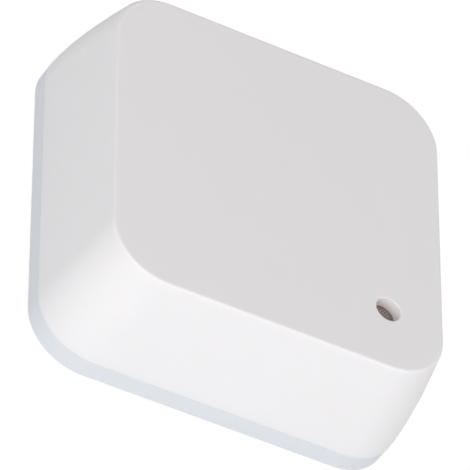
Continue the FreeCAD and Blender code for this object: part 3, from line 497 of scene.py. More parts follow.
rest_length = 2.2 * mm
rest_width = 1.2 * mm
rest_x = board_high[0] - 0.15 * mm
rest = brick(rest_length, rest_width, board_high[2], rooted, rest_x, board_high[0] / 3)
weld(housing, collar, *bosses, *ribs, *four_sides(rest))

catch_depth = 1.3 * mm
catch_width = 7.3 * mm
catch_x = tongue_outer + 0.05 * mm
catches = []
for side_y in (tongue_side, -tongue_side):
    catch = brick(catch_depth, catch_width, barb_bottom, tongue_top, catch_x, side_y)
    catches += four_sides(catch)
cut(housing, *catches)

bore_radius = 2.0 * mm
bore_edge = 0.1 * mm
flare_steps = 6
bore = upright(bore_radius, face_back - root, front - bore_edge, window_x, window_y, 96)
with shaping(bore):
    pick("VERT", lambda point: point.co.z > front - 2 * bore_edge)
    flare_radius = bore_radius
    for step in range(1, flare_steps + 1):
        angle = quarter * step / flare_steps
        wider = bore_radius + bore_edge * (1 - math.cos(angle))
        pull(0, 0, bore_edge * (math.sin(angle) - math.sin(angle - quarter / flare_steps)))
        widen(wider / flare_radius, wider / flare_radius, (window_x, window_y, front))
        flare_radius = wider
    pull(0, 0, root)
cut(housing, bore)


def reckon(operation, *terms):
    """One step of arithmetic on numbers and other nodes' results."""
    return new_node("Math", dict(enumerate(terms)), operation=operation)[0]


def along_axes(vector):
    """The x, y and z of a vector."""
    parts = new_node("SeparateXYZ", {"Vector": vector})
    return parts["X"], parts["Y"], parts["Z"]


def off_axis(x, y, axis_x, axis_y):
    """The square of the distance from an upright axis."""
    off_x = reckon("POWER", reckon("SUBTRACT", x, axis_x), 2.0)
    off_y = reckon("POWER", reckon("SUBTRACT", y, axis_y), 2.0)
    return reckon("ADD", off_x, off_y)


def paint_bore_glow(material, colour):
    """Paint the bore's wall lighter and warmer towards the window: painted light, standing in for
    the light that comes through its thin wall.
    """
    nodes = material.node_tree.nodes
    x, y, z = along_axes(nodes["Texture Coordinate"].outputs["Object"])
    from_axis = reckon("SQRT", off_axis(x, y, window_x, window_y))
    within = reckon("SUBTRACT", bore_radius + bore_edge, from_axis)
    inside = reckon("MAXIMUM", reckon("DIVIDE", within, bore_edge), 0.0)
    below = reckon("SUBTRACT", front, z)
    depth = reckon("MAXIMUM", reckon("DIVIDE", below, front - window_high[2]), 0.0)
    plain = nodes["Principled BSDF"].inputs["Base Color"].links[0].from_socket
    share = reckon("MULTIPLY", inside, depth)
    painted(material, {"Base Color": blend(share, plain, colour)})


housing_white = (0.852, 0.84, 0.844)
# Towards the window the bore's wall is painted lighter and warmer than the housing's white. This is
# painted light, not the plastic's own colour.
bore_glow_colour = (0.95, 0.885, 0.865)
white_plastic = moulded_plastic("white_satin_plastic", housing_white, 0.50, 0.2 * mm, 0.002 * mm)
paint_bore_glow(white_plastic, bore_glow_colour)
painted(white_plastic, {
    "Subsurface Weight": 0.25, "Subsurface Radius": (1.0, 0.85, 0.8), "Subsurface Scale": 1.0 * mm})
finish(housing, "moulded_front_housing", white_plastic, "housing_plastic", "front_housing")

# The sensing window is a disc of brown-black infrared plastic, pressed into the collar from behind.
# Fine square grooves are moulded slantwise across its front.
window_radius = (window_high[0] - window_low[0]) / 2
groove_pitch = 0.4 * mm
groove_width = 0.19 * mm
groove_depth = 0.24 * mm
groove_turn = math.radians(50.0)
groove_count = 14
window = upright(window_radius, window_low[2], window_high[2], window_x, window_y, 96)
groove = brick(2.2 * window_radius, groove_width, -groove_depth, groove_depth, 0, 0)
groove.location = (0, -groove_pitch * (groove_count - 1) / 2, 0)
settle(groove)
modify(groove, "ARRAY", count=groove_count, use_relative_offset=False, use_constant_offset=True,
       constant_offset_displace=(0, groove_pitch, 0))
groove.rotation_euler = (0, 0, groove_turn)
groove.location = (window_x, window_y, window_high[2])
settle(groove)
cut(window, groove)


def gloss_plastic(name, colour, roughness, grain):
    """Smooth moulded plastic with a soft shine that varies a little."""
    material, coordinates = new_material(name)
    fine = noise(coordinates, grain)
    return painted(material, {
        "Base Color": shades(fine, colour, 0.9, 1.0),
        "Roughness": between(fine, roughness - 0.04, roughness + 0.06),
    })


window_plastic = gloss_plastic("dark_infrared_plastic", (0.39, 0.315, 0.295), 0.35, 0.4 * mm)
finish(window, "Cylinder", window_plastic, "window_plastic", "sensor_window", angle=20.0)

# The window retainer is a ring of black foam, squeezed between the window and the detector.
# It is punched from sheet, and keeps stray light and dust off the detector.
retainer_low, retainer_high = levels("window_retainer")
retainer_hole = 1.7 * mm
retainer_edge = 0.08 * mm


def drill(radius, low, high, x, y, points=64):
    """A cylinder that passes right through what lies between two levels."""
    return upright(radius, low - mm, high + mm, x, y, points)


def ease(piece, width, steps=2):
    """Round a piece's sharp edges slightly, as a mould or a press leaves them."""
    modify(piece, "BEVEL", width=width, segments=steps, limit_method="ANGLE",
           angle_limit=math.radians(35.0))


retainer = upright(window_radius, retainer_low, retainer_high, window_x, window_y)
cut(retainer, drill(retainer_hole, retainer_low, retainer_high, window_x, window_y))
ease(retainer, retainer_edge)
finish(retainer, "foam_window_retainer", dark_foam, "foam", "window_retainer")

# The infrared detector is a pressed, plated steel can on a flange. Its lid has a round opening
# with a dark filter glued under it, and three wire pins go through the circuit board.
can_base, can_top = levels("detector_can")
flange_top = can_base + 0.4 * mm
can_fillet = 0.05 * mm
can_outer = 2.35 * mm
can_room = 2.1 * mm
can_flange = 2.7 * mm
lid_hole = 1.2 * mm
lid_edge = 0.04 * mm
lid_bottom = can_top - 0.25 * mm


def turned(steps, x, y, points=64):
    """A round piece drawn out from a disc, given as radii and levels from its lower end."""
    first_radius, first_level = steps[0]
    piece = added(bpy.ops.mesh.primitive_circle_add, vertices=points, radius=first_radius,
                  fill_type="NGON", location=(x, y, first_level))
    settle(piece)
    with shaping(piece):
        for (before, low), (radius, level) in zip(steps, steps[1:]):
            pull(0, 0, level - low)
            widen(radius / before, radius / before, (x, y, level))
        face_outwards()
    return piece


def turned_edge(radius, level, edge, upper, steps=3):
    """The steps of a turned piece that follow a rounded rim."""
    made = []
    for step in range(steps + 1):
        angle = quarter * step / steps
        across = edge * math.cos(angle)
        along = edge * math.sin(angle)
        if upper:
            made.append((radius - edge + across, level - edge + along))
        else:
            made.append((radius - edge + along, level + edge - across))
    return made


def slug(radius, low, high, edge, x, y, points=64):
    """A turned disc or tube blank whose rims are both rounded."""
    steps = turned_edge(radius, low, edge, False) + turned_edge(radius, high, edge, True)
    return turned(steps, x, y, points)


detector_steps = turned_edge(can_flange, can_base, 0.05 * mm, False)
detector_steps += turned_edge(can_flange, flange_top, 0.1 * mm, True)
detector_steps += [(can_outer + can_fillet, flange_top), (can_outer, flange_top + can_fillet)]
detector_steps += turned_edge(can_outer, can_top, 0.25 * mm, True, 5)
detector_steps += [(lid_hole + lid_edge, can_top), (lid_hole, can_top - lid_edge)]
detector_steps += [(lid_hole, lid_bottom), (can_room, lid_bottom), (can_room, flange_top)]
detector = turned(detector_steps, window_x, window_y)


def plated_metal(name, colour, roughness, grain, stretch=(1, 1, 1)):
    """Plated metal sheet, with a faint drawn grain and a shine that varies along it."""
    material, coordinates = new_material(name)
    drawn = new_node("Mapping", {"Scale": stretch, "Vector": coordinates})["Vector"]
    fine = noise(drawn, grain)
    return painted(material, {
        "Base Color": shades(noise(coordinates, 3 * mm), colour, 0.9, 1.0),
        "Roughness": between(fine, roughness - 0.08, roughness + 0.08),
        "Metallic": 1.0,
        "Normal": relief(fine, 0.001 * mm),
    })


plated_steel = plated_metal(
    "nickel_plated_sheet", (0.62, 0.62, 0.61), 0.28, 0.15 * mm, (1, 1, 0.1))
tinned = plated_metal("bright_tin_plating", (0.72, 0.72, 0.70), 0.25, 0.2 * mm)
finish(detector, "pressed_detector_can", plated_steel, "can_steel", "detector_can")

filter_low, filter_high = levels("detector_filter")
filter_radius = 1.5 * mm
filter_edge = 0.04 * mm
detector_filter = slug(filter_radius, filter_low, filter_high, filter_edge, window_x, window_y)


def coated_glass(name, colour):
    """Polished dark filter with a thin coloured coating."""
    material, coordinates = new_material(name)
    broad = noise(coordinates, 1.5 * mm, 1.0)
    return painted(material, {
        "Base Color": shades(broad, colour, 1.0, 1.5),
        "Roughness": between(broad, 0.04, 0.09),
        "Coat Weight": 1.0,
        "Coat Roughness": 0.05,
    })


filter_glass = coated_glass("dark_filter_glass", (0.05, 0.035, 0.08))
finish(detector_filter, "polished_detector_filter", filter_glass, "filter_glass", "detector_filter")

pin_radius = 0.225 * mm
pin_circle = 1.27 * mm
board_back = board_low[2]
board_front = board_high[2]
pin_low = levels("detector_pins")[0]
solder_cone = [(pin_radius, 0.6 * mm), (0.27 * mm, 0.4 * mm), (0.38 * mm, 0.2 * mm), (0.6 * mm, 0)]
pin_steps = turned_edge(pin_radius, pin_low, 0.1 * mm, False)
pin_steps += [(radius, board_back - height) for radius, height in solder_cone]
pin_steps += [(pin_radius, board_back), (pin_radius, board_front)]
pin_places = []
for number in range(3):
    pin_angle = quarter * (number + 0.5)
    pin_places.append((window_x + pin_circle * math.cos(pin_angle),
                       window_y + pin_circle * math.sin(pin_angle)))
pins = joined([turned(pin_steps, x, y, 32) for x, y in pin_places])
finish(pins, "soldered_detector_pins", tinned, "tinned_metal", "detector_pins")

# The circuit board is green glass-fibre laminate with round corners. It is routed to fit inside
# the housing and drilled for its screws, the pins, the holder's pegs and the battery terminals.
board_gap = 0.5 * mm
board_bend = wall_ring(board_front, housing_wall + board_gap)[1]
board_edge = 0.06 * mm
board = slab(board_high[0], board_bend, board_back, board_front, board_edge, 2)
screw_drill = 1.2 * mm
peg_drill = 0.9 * mm
pin_drill = pin_radius + 0.1 * mm
peg_at = 18.95 * mm
peg_places = [(0, peg_at), (0, -peg_at)]
cell_x = 5.85 * mm
tab_y = -23.75 * mm
tab_places = [(-cell_x, tab_y), (cell_x, tab_y)]
tab_slot = 2.2 * mm
tab_slit = 0.6 * mm
drilled = [(screw_drill, screw_places, 48), (peg_drill, peg_places, 48), (pin_drill, pin_places, 24)]
holes = []
for radius, places, points in drilled:
    for x, y in places:
        holes.append(drill(radius, board_back, board_front, x, y, points))
for x, y in tab_places:
    holes.append(brick(tab_slot, tab_slit, board_back - mm, board_front + mm, x, y))
cut(board, *holes)


def near_places(x, y, places, radius):
    """A mask that is one within a radius of any of some upright axes."""
    mask = 0.0
    for place_x, place_y in places:
        inside = reckon("LESS_THAN", off_axis(x, y, place_x, place_y), radius ** 2)
        mask = reckon("MAXIMUM", inside, mask)
    return mask


def track_gaps(x, y, pitch, jogs):
    """A mask of the gaps between copper tracks, which run along y and step aside at each jog."""
    for jog_from, jog_to, way in jogs:
        gone_by = reckon("MINIMUM", reckon("MAXIMUM", y, jog_from), jog_to)
        x = reckon("MULTIPLY_ADD", gone_by, way, x)
    across_bundle = reckon("FRACT", reckon("DIVIDE", x, 11 * pitch))
    across_track = reckon("FRACT", reckon("DIVIDE", x, pitch))
    from_middle = reckon("ABSOLUTE", reckon("SUBTRACT", across_track, 0.5))
    in_bundle = reckon("LESS_THAN", across_bundle, 0.6)
    return reckon("MULTIPLY", in_bundle, reckon("LESS_THAN", from_middle, 0.15))


def plated_holes(coordinates, spacing, radius):
    """A mask that is one in small plated holes, scattered about one spacing apart."""
    inputs = {"Scale": 1.0 / spacing, "Vector": coordinates}
    scatter = new_node("TexVoronoi", inputs, voronoi_dimensions="2D")
    return reckon("LESS_THAN", scatter["Distance"], radius / spacing)


def solder_mask(name, pads, pad_radius):
    """Green solder mask over tracks and plated holes, painted shade in the holes' dark centres, bare
    tinned pads, and a pale sawn edge.
    """
    material, coordinates = new_material(name)
    x, y = along_axes(coordinates)[:2]
    gaps = track_gaps(x, y, 0.5 * mm, track_jogs)
    rims = plated_holes(coordinates, 3.1 * mm, 0.36 * mm)
    # The near-black centres of the plated holes are painted shade. They stand in for the open holes,
    # which are not drilled.
    via_hole_shade = plated_holes(coordinates, 3.1 * mm, 0.15 * mm)
    upward = along_axes(coordinates.node.outputs["Normal"])[2]
    sawn = reckon("LESS_THAN", reckon("ABSOLUTE", upward), 0.6)
    bare = near_places(x, y, pads, pad_radius)
    cloud = noise(coordinates, 6 * mm)
    colour = blend(cloud, (0.016, 0.125, 0.062), (0.024, 0.155, 0.075))
    for mask, layer in ((gaps, (0.008, 0.055, 0.03)), (rims, (0.05, 0.25, 0.12)),
                        (via_hole_shade, (0.004, 0.02, 0.012)), (sawn, (0.36, 0.38, 0.2)),
                        (bare, (0.7, 0.7, 0.68))):
        colour = blend(mask, colour, layer)
    return painted(material, {
        "Base Color": colour,
        "Metallic": bare,
        "Roughness": between(noise(coordinates, 0.5 * mm), 0.3, 0.42),
        "Normal": relief(reckon("SUBTRACT", 1.0, gaps), 0.02 * mm),
    })


track_jogs = [(-19 * mm, -17 * mm, 1.0), (-9 * mm, -5 * mm, -1.0), (1 * mm, 2.5 * mm, 1.0),
              (6 * mm, 9 * mm, -1.0), (14 * mm, 16.5 * mm, 1.0)]
board_mask = solder_mask("green_solder_mask", screw_places, 2.3 * mm)
finish(board, "drilled_circuit_board", board_mask, "board", "circuit_board")

# The pairing button is a square tactile switch soldered to the back of the board: a black case,
# a pressed steel cover held by four melted posts, four bent feet and a round black plunger.


def boxed(node):
    """A node's box, and a block that fills it."""
    low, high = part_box(node)
    block = brick(high[0] - low[0], high[1] - low[1], low[2], high[2], *centre_of(low, high))
    return low, high, block


post_at = 2.4 * mm
post_radius = 0.35 * mm
post_head = 0.12 * mm
case_room = 2.5 * mm
case_depth = 1.3 * mm
shaft_radius = 1.7 * mm
flange_radius = 2.4 * mm
case_low, case_high, case = boxed("switch_case")
switch_x, switch_y = centre_of(case_low, case_high)
ease(case, 0.15 * mm)
cut(case, upright(case_room, case_low[2] - mm, case_low[2] + case_depth, switch_x, switch_y, 96))
cover_low, cover_high, cover = boxed("switch_cover")
ease(cover, 0.08 * mm)
cover_holes = [drill(shaft_radius + 0.1 * mm, cover_low[2], cover_high[2], switch_x, switch_y)]
post_steps = turned_edge(post_radius, cover_low[2] - post_head, 0.1 * mm, False)
post_steps.append((post_radius, case_low[2] + 0.1 * mm))
posts = []
for x in (switch_x + post_at, switch_x - post_at):
    for y in (switch_y + post_at, switch_y - post_at):
        cover_holes.append(drill(post_radius + 0.02 * mm, cover_low[2], cover_high[2], x, y, 24))
        posts.append(turned(post_steps, x, y, 24))
cut(cover, *cover_holes)
weld(case, *posts)
chip_plastic = moulded_plastic(
    "black_moulded_epoxy", (0.03, 0.03, 0.031), 0.5, 0.1 * mm, 0.003 * mm)
finish(case, "black_switch_case", chip_plastic, "chip_plastic", "switch_case")
finish(cover, "pressed_switch_cover", plated_steel, "can_steel", "switch_cover")

plunger_low, plunger_high = levels("button_plunger")
flange_level = plunger_high - 0.8 * mm
plunger_edge = 0.3 * mm
dimple_radius = 1.1 * mm
dimple_floor = 0.9 * mm
dimple_depth = 0.08 * mm
plunger_steps = turned_edge(shaft_radius, plunger_low, plunger_edge, False, 5)
plunger_steps += [(shaft_radius, flange_level), (flange_radius, flange_level)]
plunger_steps.append((flange_radius, plunger_high))
plunger = turned(plunger_steps, switch_x, switch_y)
dimple_steps = [(dimple_radius, plunger_low - 0.1 * mm), (dimple_radius, plunger_low),
                (dimple_floor, plunger_low + dimple_depth)]
cut(plunger, turned(dimple_steps, switch_x, switch_y))
plunger_plastic = moulded_plastic(
    "satin_black_plunger", (0.06, 0.06, 0.06), 0.38, 0.15 * mm, 0.002 * mm)
finish(plunger, "black_button_plunger", plunger_plastic, "plunger_plastic", "button_plunger",
       body="pairing_button")

foot_length = 1.1 * mm
foot_width = 0.7 * mm
foot_thickness = 0.25 * mm
foot_slope = 0.12 * mm
foot_pitch = 4.5 * mm
foot_out = (case_high[0] - case_low[0] + foot_length) / 2
foot_low = board_back - foot_thickness
feet = []
for side in (-1, 1):
    for end in (-1, 1):
        foot_x = switch_x + side * foot_out
        foot_y = switch_y + end * foot_pitch / 2
        foot = brick(foot_length, foot_width, foot_low, board_back, foot_x, foot_y)
        with shaping(foot):
            pick("VERT", lambda point: side * (point.co.x - foot_x) > 0
                 and point.co.z < foot_low + foot_thickness / 2)
            bpy.ops.transform.translate(value=(-side * foot_slope, 0, 0))
        feet.append(foot)
switch_feet = joined(feet)
ease(switch_feet, 0.04 * mm)
finish(switch_feet, "tinned_switch_feet", tinned, "tinned_metal", "switch_feet")

# The radio module is a small board of its own, soldered by half-round pads along its edges. A
# pressed steel shield covers its chip, and a folded trace at its far end is the antenna.
radio_low, radio_high, radio_board = boxed("radio_board")
ease(radio_board, 0.05 * mm, 1)
notch_radius = 0.3 * mm
notch_pitch = 1.27 * mm
notch_start = radio_high[0] - 1.5 * mm
notch_places = []
for edge_y in (radio_low[1], radio_high[1]):
    for number in range(8):
        notch_places.append((notch_start - number * notch_pitch, edge_y))
for number in range(-3, 4):
    notch_places.append((radio_high[0], centre_of(radio_low, radio_high)[1] + number * notch_pitch))
notches = [drill(notch_radius, radio_low[2], radio_high[2], x, y, 16) for x, y in notch_places]
cut(radio_board, *notches)
finish(radio_board, "notched_radio_board", board_mask, "board", "radio_board")

shield_low, shield_high, shield = boxed("radio_shield")
shield_x, shield_y = centre_of(shield_low, shield_high)
shield_top = shield_high[2]
shield_skin = 0.2 * mm
ease(shield, 0.15 * mm)
room_length = shield_high[0] - shield_low[0] - 2 * shield_skin
room_width = shield_high[1] - shield_low[1] - 2 * shield_skin
cut(shield, brick(room_length, room_width, shield_low[2] - mm, shield_top - shield_skin,
                  shield_x, shield_y))
vent_radius = 0.3 * mm
vent_pitch = 2 * mm
four_columns = (-1.5, -0.5, 0.5, 1.5)
vents = []
for row in (-1, 0, 1):
    for column in four_columns:
        vents.append(drill(vent_radius, shield_top, shield_top, shield_x + row * vent_pitch,
                           shield_y + column * vent_pitch, 24))
cut(shield, *vents)
finish(shield, "pressed_radio_shield", plated_steel, "can_steel", "radio_shield")


def dress(node, material):
    """Give a CAD piece that stays as it is its material."""
    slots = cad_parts[node].data.materials
    slots.clear()
    slots.append(material)


gilt = plated_metal("gold_plated_copper", (0.72, 0.45, 0.22), 0.3, 0.2 * mm)
dress("radio_antenna", gilt)

# The chips, crystal, capacitors, inductor and status light are soldered to the front of the
# board, where the housing hides them. Chips are black epoxy with a round mark at their first pin.
mark_radius = 0.3 * mm
mark_depth = 0.06 * mm


def mark_corner(chip, low, high, inset):
    """Sink the round mark for the first pin into a chip's top."""
    mark_low = high[2] - mark_depth
    cut(chip, upright(mark_radius, mark_low, high[2] + mm, low[0] + inset, high[1] - inset, 32))


chip_low, chip_high, processor = boxed("processor_chip")
ease(processor, 0.06 * mm)
mark_corner(processor, chip_low, chip_high, 0.8 * mm)
finish(processor, "flat_processor_chip", chip_plastic, "chip_plastic", "processor_chip")


def draft(piece, level, share, sides=(True, False)):
    """Part a moulded piece at a level, and draw it in above that level and below it."""
    centre = [(piece.bound_box[0][axis] + piece.bound_box[6][axis]) / 2 for axis in range(3)]
    with shaping(piece):
        bpy.ops.mesh.bisect(plane_co=(0, 0, level), plane_no=(0, 0, 1))
        for upper in sides:
            pick("VERT", lambda point: (point.co.z > level) == upper
                 and abs(point.co.z - level) > 0.1 * mm)
            widen(share, share, centre)


amplifier_low, amplifier_high, amplifier = boxed("amplifier_chip")
lead_level = (amplifier_low[2] + amplifier_high[2]) / 2
draft(amplifier, lead_level, 0.93)
ease(amplifier, 0.06 * mm)
mark_corner(amplifier, amplifier_low, amplifier_high, 0.75 * mm)
finish(amplifier, "moulded_amplifier_chip", chip_plastic, "chip_plastic", "amplifier_chip",
       angle=20.0)

lead_width = 0.4 * mm
lead_thickness = 0.15 * mm
lead_toe = 0.5 * mm
lead_out = 0.84 * mm
lead_slope = 0.25 * mm
lead_heel = 0.33 * mm
lead_rise = lead_level - lead_thickness / 2 - board_front
lead_top = board_front + lead_thickness
lead_pitch = (amplifier_high[0] - amplifier_low[0]) / 4
amplifier_x = centre_of(amplifier_low, amplifier_high)[0]
leads = []
for side, edge_y in ((-1, amplifier_low[1]), (1, amplifier_high[1])):
    for column in four_columns:
        lead = brick(lead_width, lead_toe, board_front, lead_top,
                     amplifier_x + column * lead_pitch, edge_y + side * lead_out)
        with shaping(lead):
            pick("FACE", lambda face: face.normal.y * side < -0.5)
            pull(0, -side * lead_slope, lead_rise)
            pull(0, -side * lead_heel, 0)
        leads.append(lead)
amplifier_feet = joined(leads)
ease(amplifier_feet, 0.03 * mm)
finish(amplifier_feet, "bent_amplifier_feet", tinned, "tinned_metal", "amplifier_feet")

lid_height = 0.3 * mm
lid_inset = 0.2 * mm
crystal = boxed("timing_crystal")[2]
with shaping(crystal):
    pick("FACE", lambda face: face.normal.z > 0.5)
    bpy.ops.transform.translate(value=(0, 0, -lid_height))
    bpy.ops.mesh.inset(thickness=lid_inset)
    pull(0, 0, lid_height)
ease(crystal, 0.07 * mm)
finish(crystal, "lidded_timing_crystal", plated_steel, "can_steel", "timing_crystal")

capacitor_low, capacitor_high, capacitor = boxed("bulk_capacitor")
draft(capacitor, (capacitor_low[2] + capacitor_high[2]) / 2, 0.96)
ease(capacitor, 0.08 * mm)


def banded_epoxy(name, colour, band, band_from, band_to):
    """Moulded epoxy with a printed polarity band at one end."""
    material, coordinates = new_material(name)
    x = along_axes(coordinates)[0]
    past_start = reckon("GREATER_THAN", x, band_from)
    printed = reckon("MULTIPLY", past_start, reckon("LESS_THAN", x, band_to))
    fine = noise(coordinates, 0.15 * mm)
    return painted(material, {
        "Base Color": blend(printed, colour, band),
        "Roughness": between(fine, 0.4, 0.5),
        "Normal": relief(fine, 0.003 * mm),
    })


band_from = capacitor_low[0] + 0.6 * mm
band_to = band_from + 0.9 * mm
yellow_epoxy = banded_epoxy(
    "banded_yellow_epoxy", (0.75, 0.50, 0.12), (0.28, 0.14, 0.05), band_from, band_to)
finish(capacitor, "moulded_bulk_capacitor", yellow_epoxy, "capacitor_plastic", "bulk_capacitor",
       angle=20.0)


def bevel_along(piece, axis, least, width, steps):
    """Bevel the edges of a block that are longer than a length along an axis."""
    with shaping(piece):
        pick("EDGE", lambda edge: abs(edge.verts[0].co[axis] - edge.verts[1].co[axis]) > least)
        bpy.ops.mesh.bevel(offset=width, segments=steps)


inductor_low, inductor_high, inductor = boxed("power_inductor")
inductor_x, inductor_y = centre_of(inductor_low, inductor_high)
inductor_top = inductor_high[2]
drum_outer = 2.0 * mm
drum_inner = 1.75 * mm
drum_floor = inductor_top - 0.25 * mm
inductor_corner = 0.9 * mm
bevel_along(inductor, 2, mm, inductor_corner, 1)
ease(inductor, 0.1 * mm)
drum_gap = upright(drum_outer, drum_floor, inductor_top + mm, inductor_x, inductor_y)
cut(drum_gap, drill(drum_inner, drum_floor, inductor_top + mm, inductor_x, inductor_y))
cut(inductor, drum_gap)


def pressed_powder(name, colour, grain):
    """Matt pressed or fired powder, speckled by its grains."""
    material, coordinates = new_material(name)
    speckle = noise(coordinates, grain, 6.0)
    return painted(material, {
        "Base Color": shades(speckle, colour, 0.75, 1.35),
        "Roughness": between(speckle, 0.5, 0.65),
        "Normal": relief(speckle, 0.006 * mm),
    })


ferrite = pressed_powder("pressed_ferrite", (0.10, 0.10, 0.11), 0.08 * mm)
finish(inductor, "pressed_power_inductor", ferrite, "ferrite", "power_inductor")

light_low, _, status_light = boxed("status_light")
lens_base = light_low[2] + 0.3 * mm
draft(status_light, lens_base, 0.85, (True,))
ease(status_light, 0.06 * mm)


def clear_resin(name):
    """Cast clear resin, slightly cloudy."""
    material, coordinates = new_material(name)
    cloud = noise(coordinates, 0.3 * mm)
    return painted(material, {
        "Base Color": blend(cloud, (0.80, 0.81, 0.74), (0.88, 0.88, 0.83)),
        "Roughness": between(cloud, 0.1, 0.2),
        "Transmission Weight": 0.4,
    })


cast_resin = clear_resin("cast_clear_resin")
finish(status_light, "clear_status_light", cast_resin, "clear_plastic", "status_light", angle=20.0)

ceramic_low, ceramic_high = levels("ceramic_capacitors")
ceramic_width = 0.8 * mm
ceramic_end = 0.3 * mm
end_skin = 0.03 * mm
end_out = 0.65 * mm
body_length = 1.1 * mm
parts_x = centre_of(chip_low, chip_high)[0]
ceramic_places = [
    (-5.6, 3.0), (-5.6, 6.0), (-5.6, 9.0), (5.6, 3.0), (5.6, 6.0), (5.6, 9.0),
    (5.0, 13.2), (5.0, 16.0), (0.4, -8.0), (0.4, -11.0), (0.0, -16.0), (4.0, -16.0),
]
bodies = []
ends = []
for x, y in ceramic_places:
    at_x = parts_x + x * mm
    at_y = y * mm
    bodies.append(brick(body_length, ceramic_width - 2 * end_skin, ceramic_low,
                        ceramic_high - end_skin, at_x, at_y))
    for side in (-1, 1):
        ends.append(brick(ceramic_end, ceramic_width, ceramic_low, ceramic_high,
                          at_x + side * end_out, at_y))
ceramic_bodies = joined(bodies)
ease(ceramic_bodies, 0.03 * mm)
ceramic = pressed_powder("fired_ceramic", (0.50, 0.38, 0.26), 0.1 * mm)
finish(ceramic_bodies, "ceramic_capacitor_bodies", ceramic, "capacitor_ceramic",
       "ceramic_capacitors")
ceramic_ends = joined(ends)
ease(ceramic_ends, 0.06 * mm)
finish(ceramic_ends, "ceramic_capacitor_ends", tinned, "tinned_metal", "ceramic_capacitors")

# Three pan-head screws go through the board from behind into the housing's bosses. They are
# zinc-plated steel, with a cross recess and a rolled thread that the bosses hide.
head_top, screw_tip = levels("board_screws")
head_radius = 1.9 * mm
shank_radius = 0.95 * mm
screw_steps = [
    (0.9 * mm, head_top), (1.2 * mm, head_top + 0.06 * mm), (1.5 * mm, head_top + 0.22 * mm),
    (1.75 * mm, head_top + 0.48 * mm), (head_radius, head_top + 0.85 * mm),
    (head_radius, board_back), (shank_radius, board_back), (shank_radius, screw_tip - 0.5 * mm),
    (0.7 * mm, screw_tip - 0.2 * mm), (0.4 * mm, screw_tip),
]
screw = turned(screw_steps, 0, 0)
recess_width = 0.42 * mm
recess_reach = 1.9 * mm
recess_floor = head_top + 0.8 * mm
for turn in (0, quarter):
    blade = brick(recess_reach, recess_width, head_top - 0.2 * mm, recess_floor, 0, 0)
    with shaping(blade):
        pick("VERT", lambda point: point.co.z > head_top)
        widen(0.45, 0.6, (0, 0, 0))
    blade.rotation_euler[2] = turn
    settle(blade)
    cut(screw, blade)
screws = joined(copies(screw, [(0.4 + x / boss_at, (x, y, 0)) for x, y in screw_places]))
zinc = plated_metal("zinc_plating", (0.48, 0.48, 0.49), 0.32, 0.2 * mm)
finish(screws, "cross_recess_screws", zinc, "screw_steel", "board_screws", angle=30.0)

# The battery holder is a black moulded tray with two round cradles, finger notches in its sides,
# seats for the contacts, and two pegs pressed into the board.
holder_low, holder_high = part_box("battery_holder")
cell_low, cell_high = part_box("left_cell")
cell_z = (cell_low[2] + cell_high[2]) / 2
cradle_radius = 5.5 * mm
holder_half = holder_high[1]
holder_mouth = holder_low[2] - mm
inner_half = holder_half - 1.2 * mm
contact_thickness = 0.4 * mm
contact_width = 9.0 * mm
seat_y = inner_half - contact_thickness / 2
seat_top = board_back - 1.1 * mm
notch_mouth = 16 * mm
notch_floor = 13.6 * mm
holder = brick(2 * holder_high[0], 2 * holder_half, holder_low[2], board_back, 0, 0)
for x in (-cell_x, cell_x):
    cut(holder, added(bpy.ops.mesh.primitive_cylinder_add, vertices=96, radius=cradle_radius,
                      depth=2 * inner_half, location=(x, 0, cell_z), rotation=(quarter, 0, 0)))
    cut(holder, brick(2 * cradle_radius, 2 * inner_half, holder_mouth, cell_z, x, 0))
notch = brick(40 * mm, notch_mouth, holder_mouth, cell_z, 0, 0)
with shaping(notch):
    pick("VERT", lambda point: point.co.z > cell_z - 0.5 * mm)
    widen(1, notch_floor / notch_mouth, (0, 0, 0))
cut(holder, notch)
seats = [brick(2 * cell_x + contact_width, contact_thickness, holder_mouth, seat_top, 0, seat_y)]
for x, y in tab_places:
    seats.append(brick(contact_width, contact_thickness, holder_mouth, seat_top, x, -seat_y))
    seats.append(brick(tab_slot, contact_thickness, seat_top - mm, board_back + mm, x, y))
for seat in seats:
    cut(holder, seat)
ease(holder, 0.12 * mm)
peg_radius = 0.8 * mm
peg_edge = 0.15 * mm
peg_steps = [(peg_radius, board_back - 0.3 * mm), (peg_radius, board_front - peg_edge),
             (peg_radius - peg_edge, board_front)]
for x, y in peg_places:
    weld(holder, turned(peg_steps, x, y, 48))
holder_plastic = moulded_plastic(
    "black_satin_holder", (0.05, 0.05, 0.05), 0.45, 0.25 * mm, 0.003 * mm)
finish(holder, "black_battery_holder", holder_plastic, "holder_plastic", "battery_holder",
       angle=30.0)

# The contacts are stamped from tin-plated strip: a bridge across one end of the holder, and at
# the other end two terminals whose tabs pass through the holder and the board.
contact_low, contact_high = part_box("bridge_contact")
contact_edge = 0.08 * mm
contact_bend = 0.8 * mm
tab_width = 2 * mm
tab_high = levels("negative_terminal")[1]


def stamped_strip(length, x, y):
    """A strip with round corners that stands across the holder."""
    strip = brick(length, contact_thickness, contact_low[2], contact_high[2], x, y)
    bevel_along(strip, 1, contact_thickness / 2, contact_bend, 6)
    return strip


bridge = stamped_strip(contact_high[0] - contact_low[0], 0, seat_y)
ease(bridge, contact_edge)
finish(bridge, "stamped_bridge_contact", tinned, "tinned_metal", "bridge_contact")
for node, (x, y) in zip(("negative_terminal", "positive_terminal"), tab_places):
    terminal = stamped_strip(contact_width, x, y)
    weld(terminal, brick(tab_width, contact_thickness, contact_high[2] - mm, tab_high, x, y))
    ease(terminal, contact_edge)
    finish(terminal, "stamped_" + node, tinned, "tinned_metal", node)

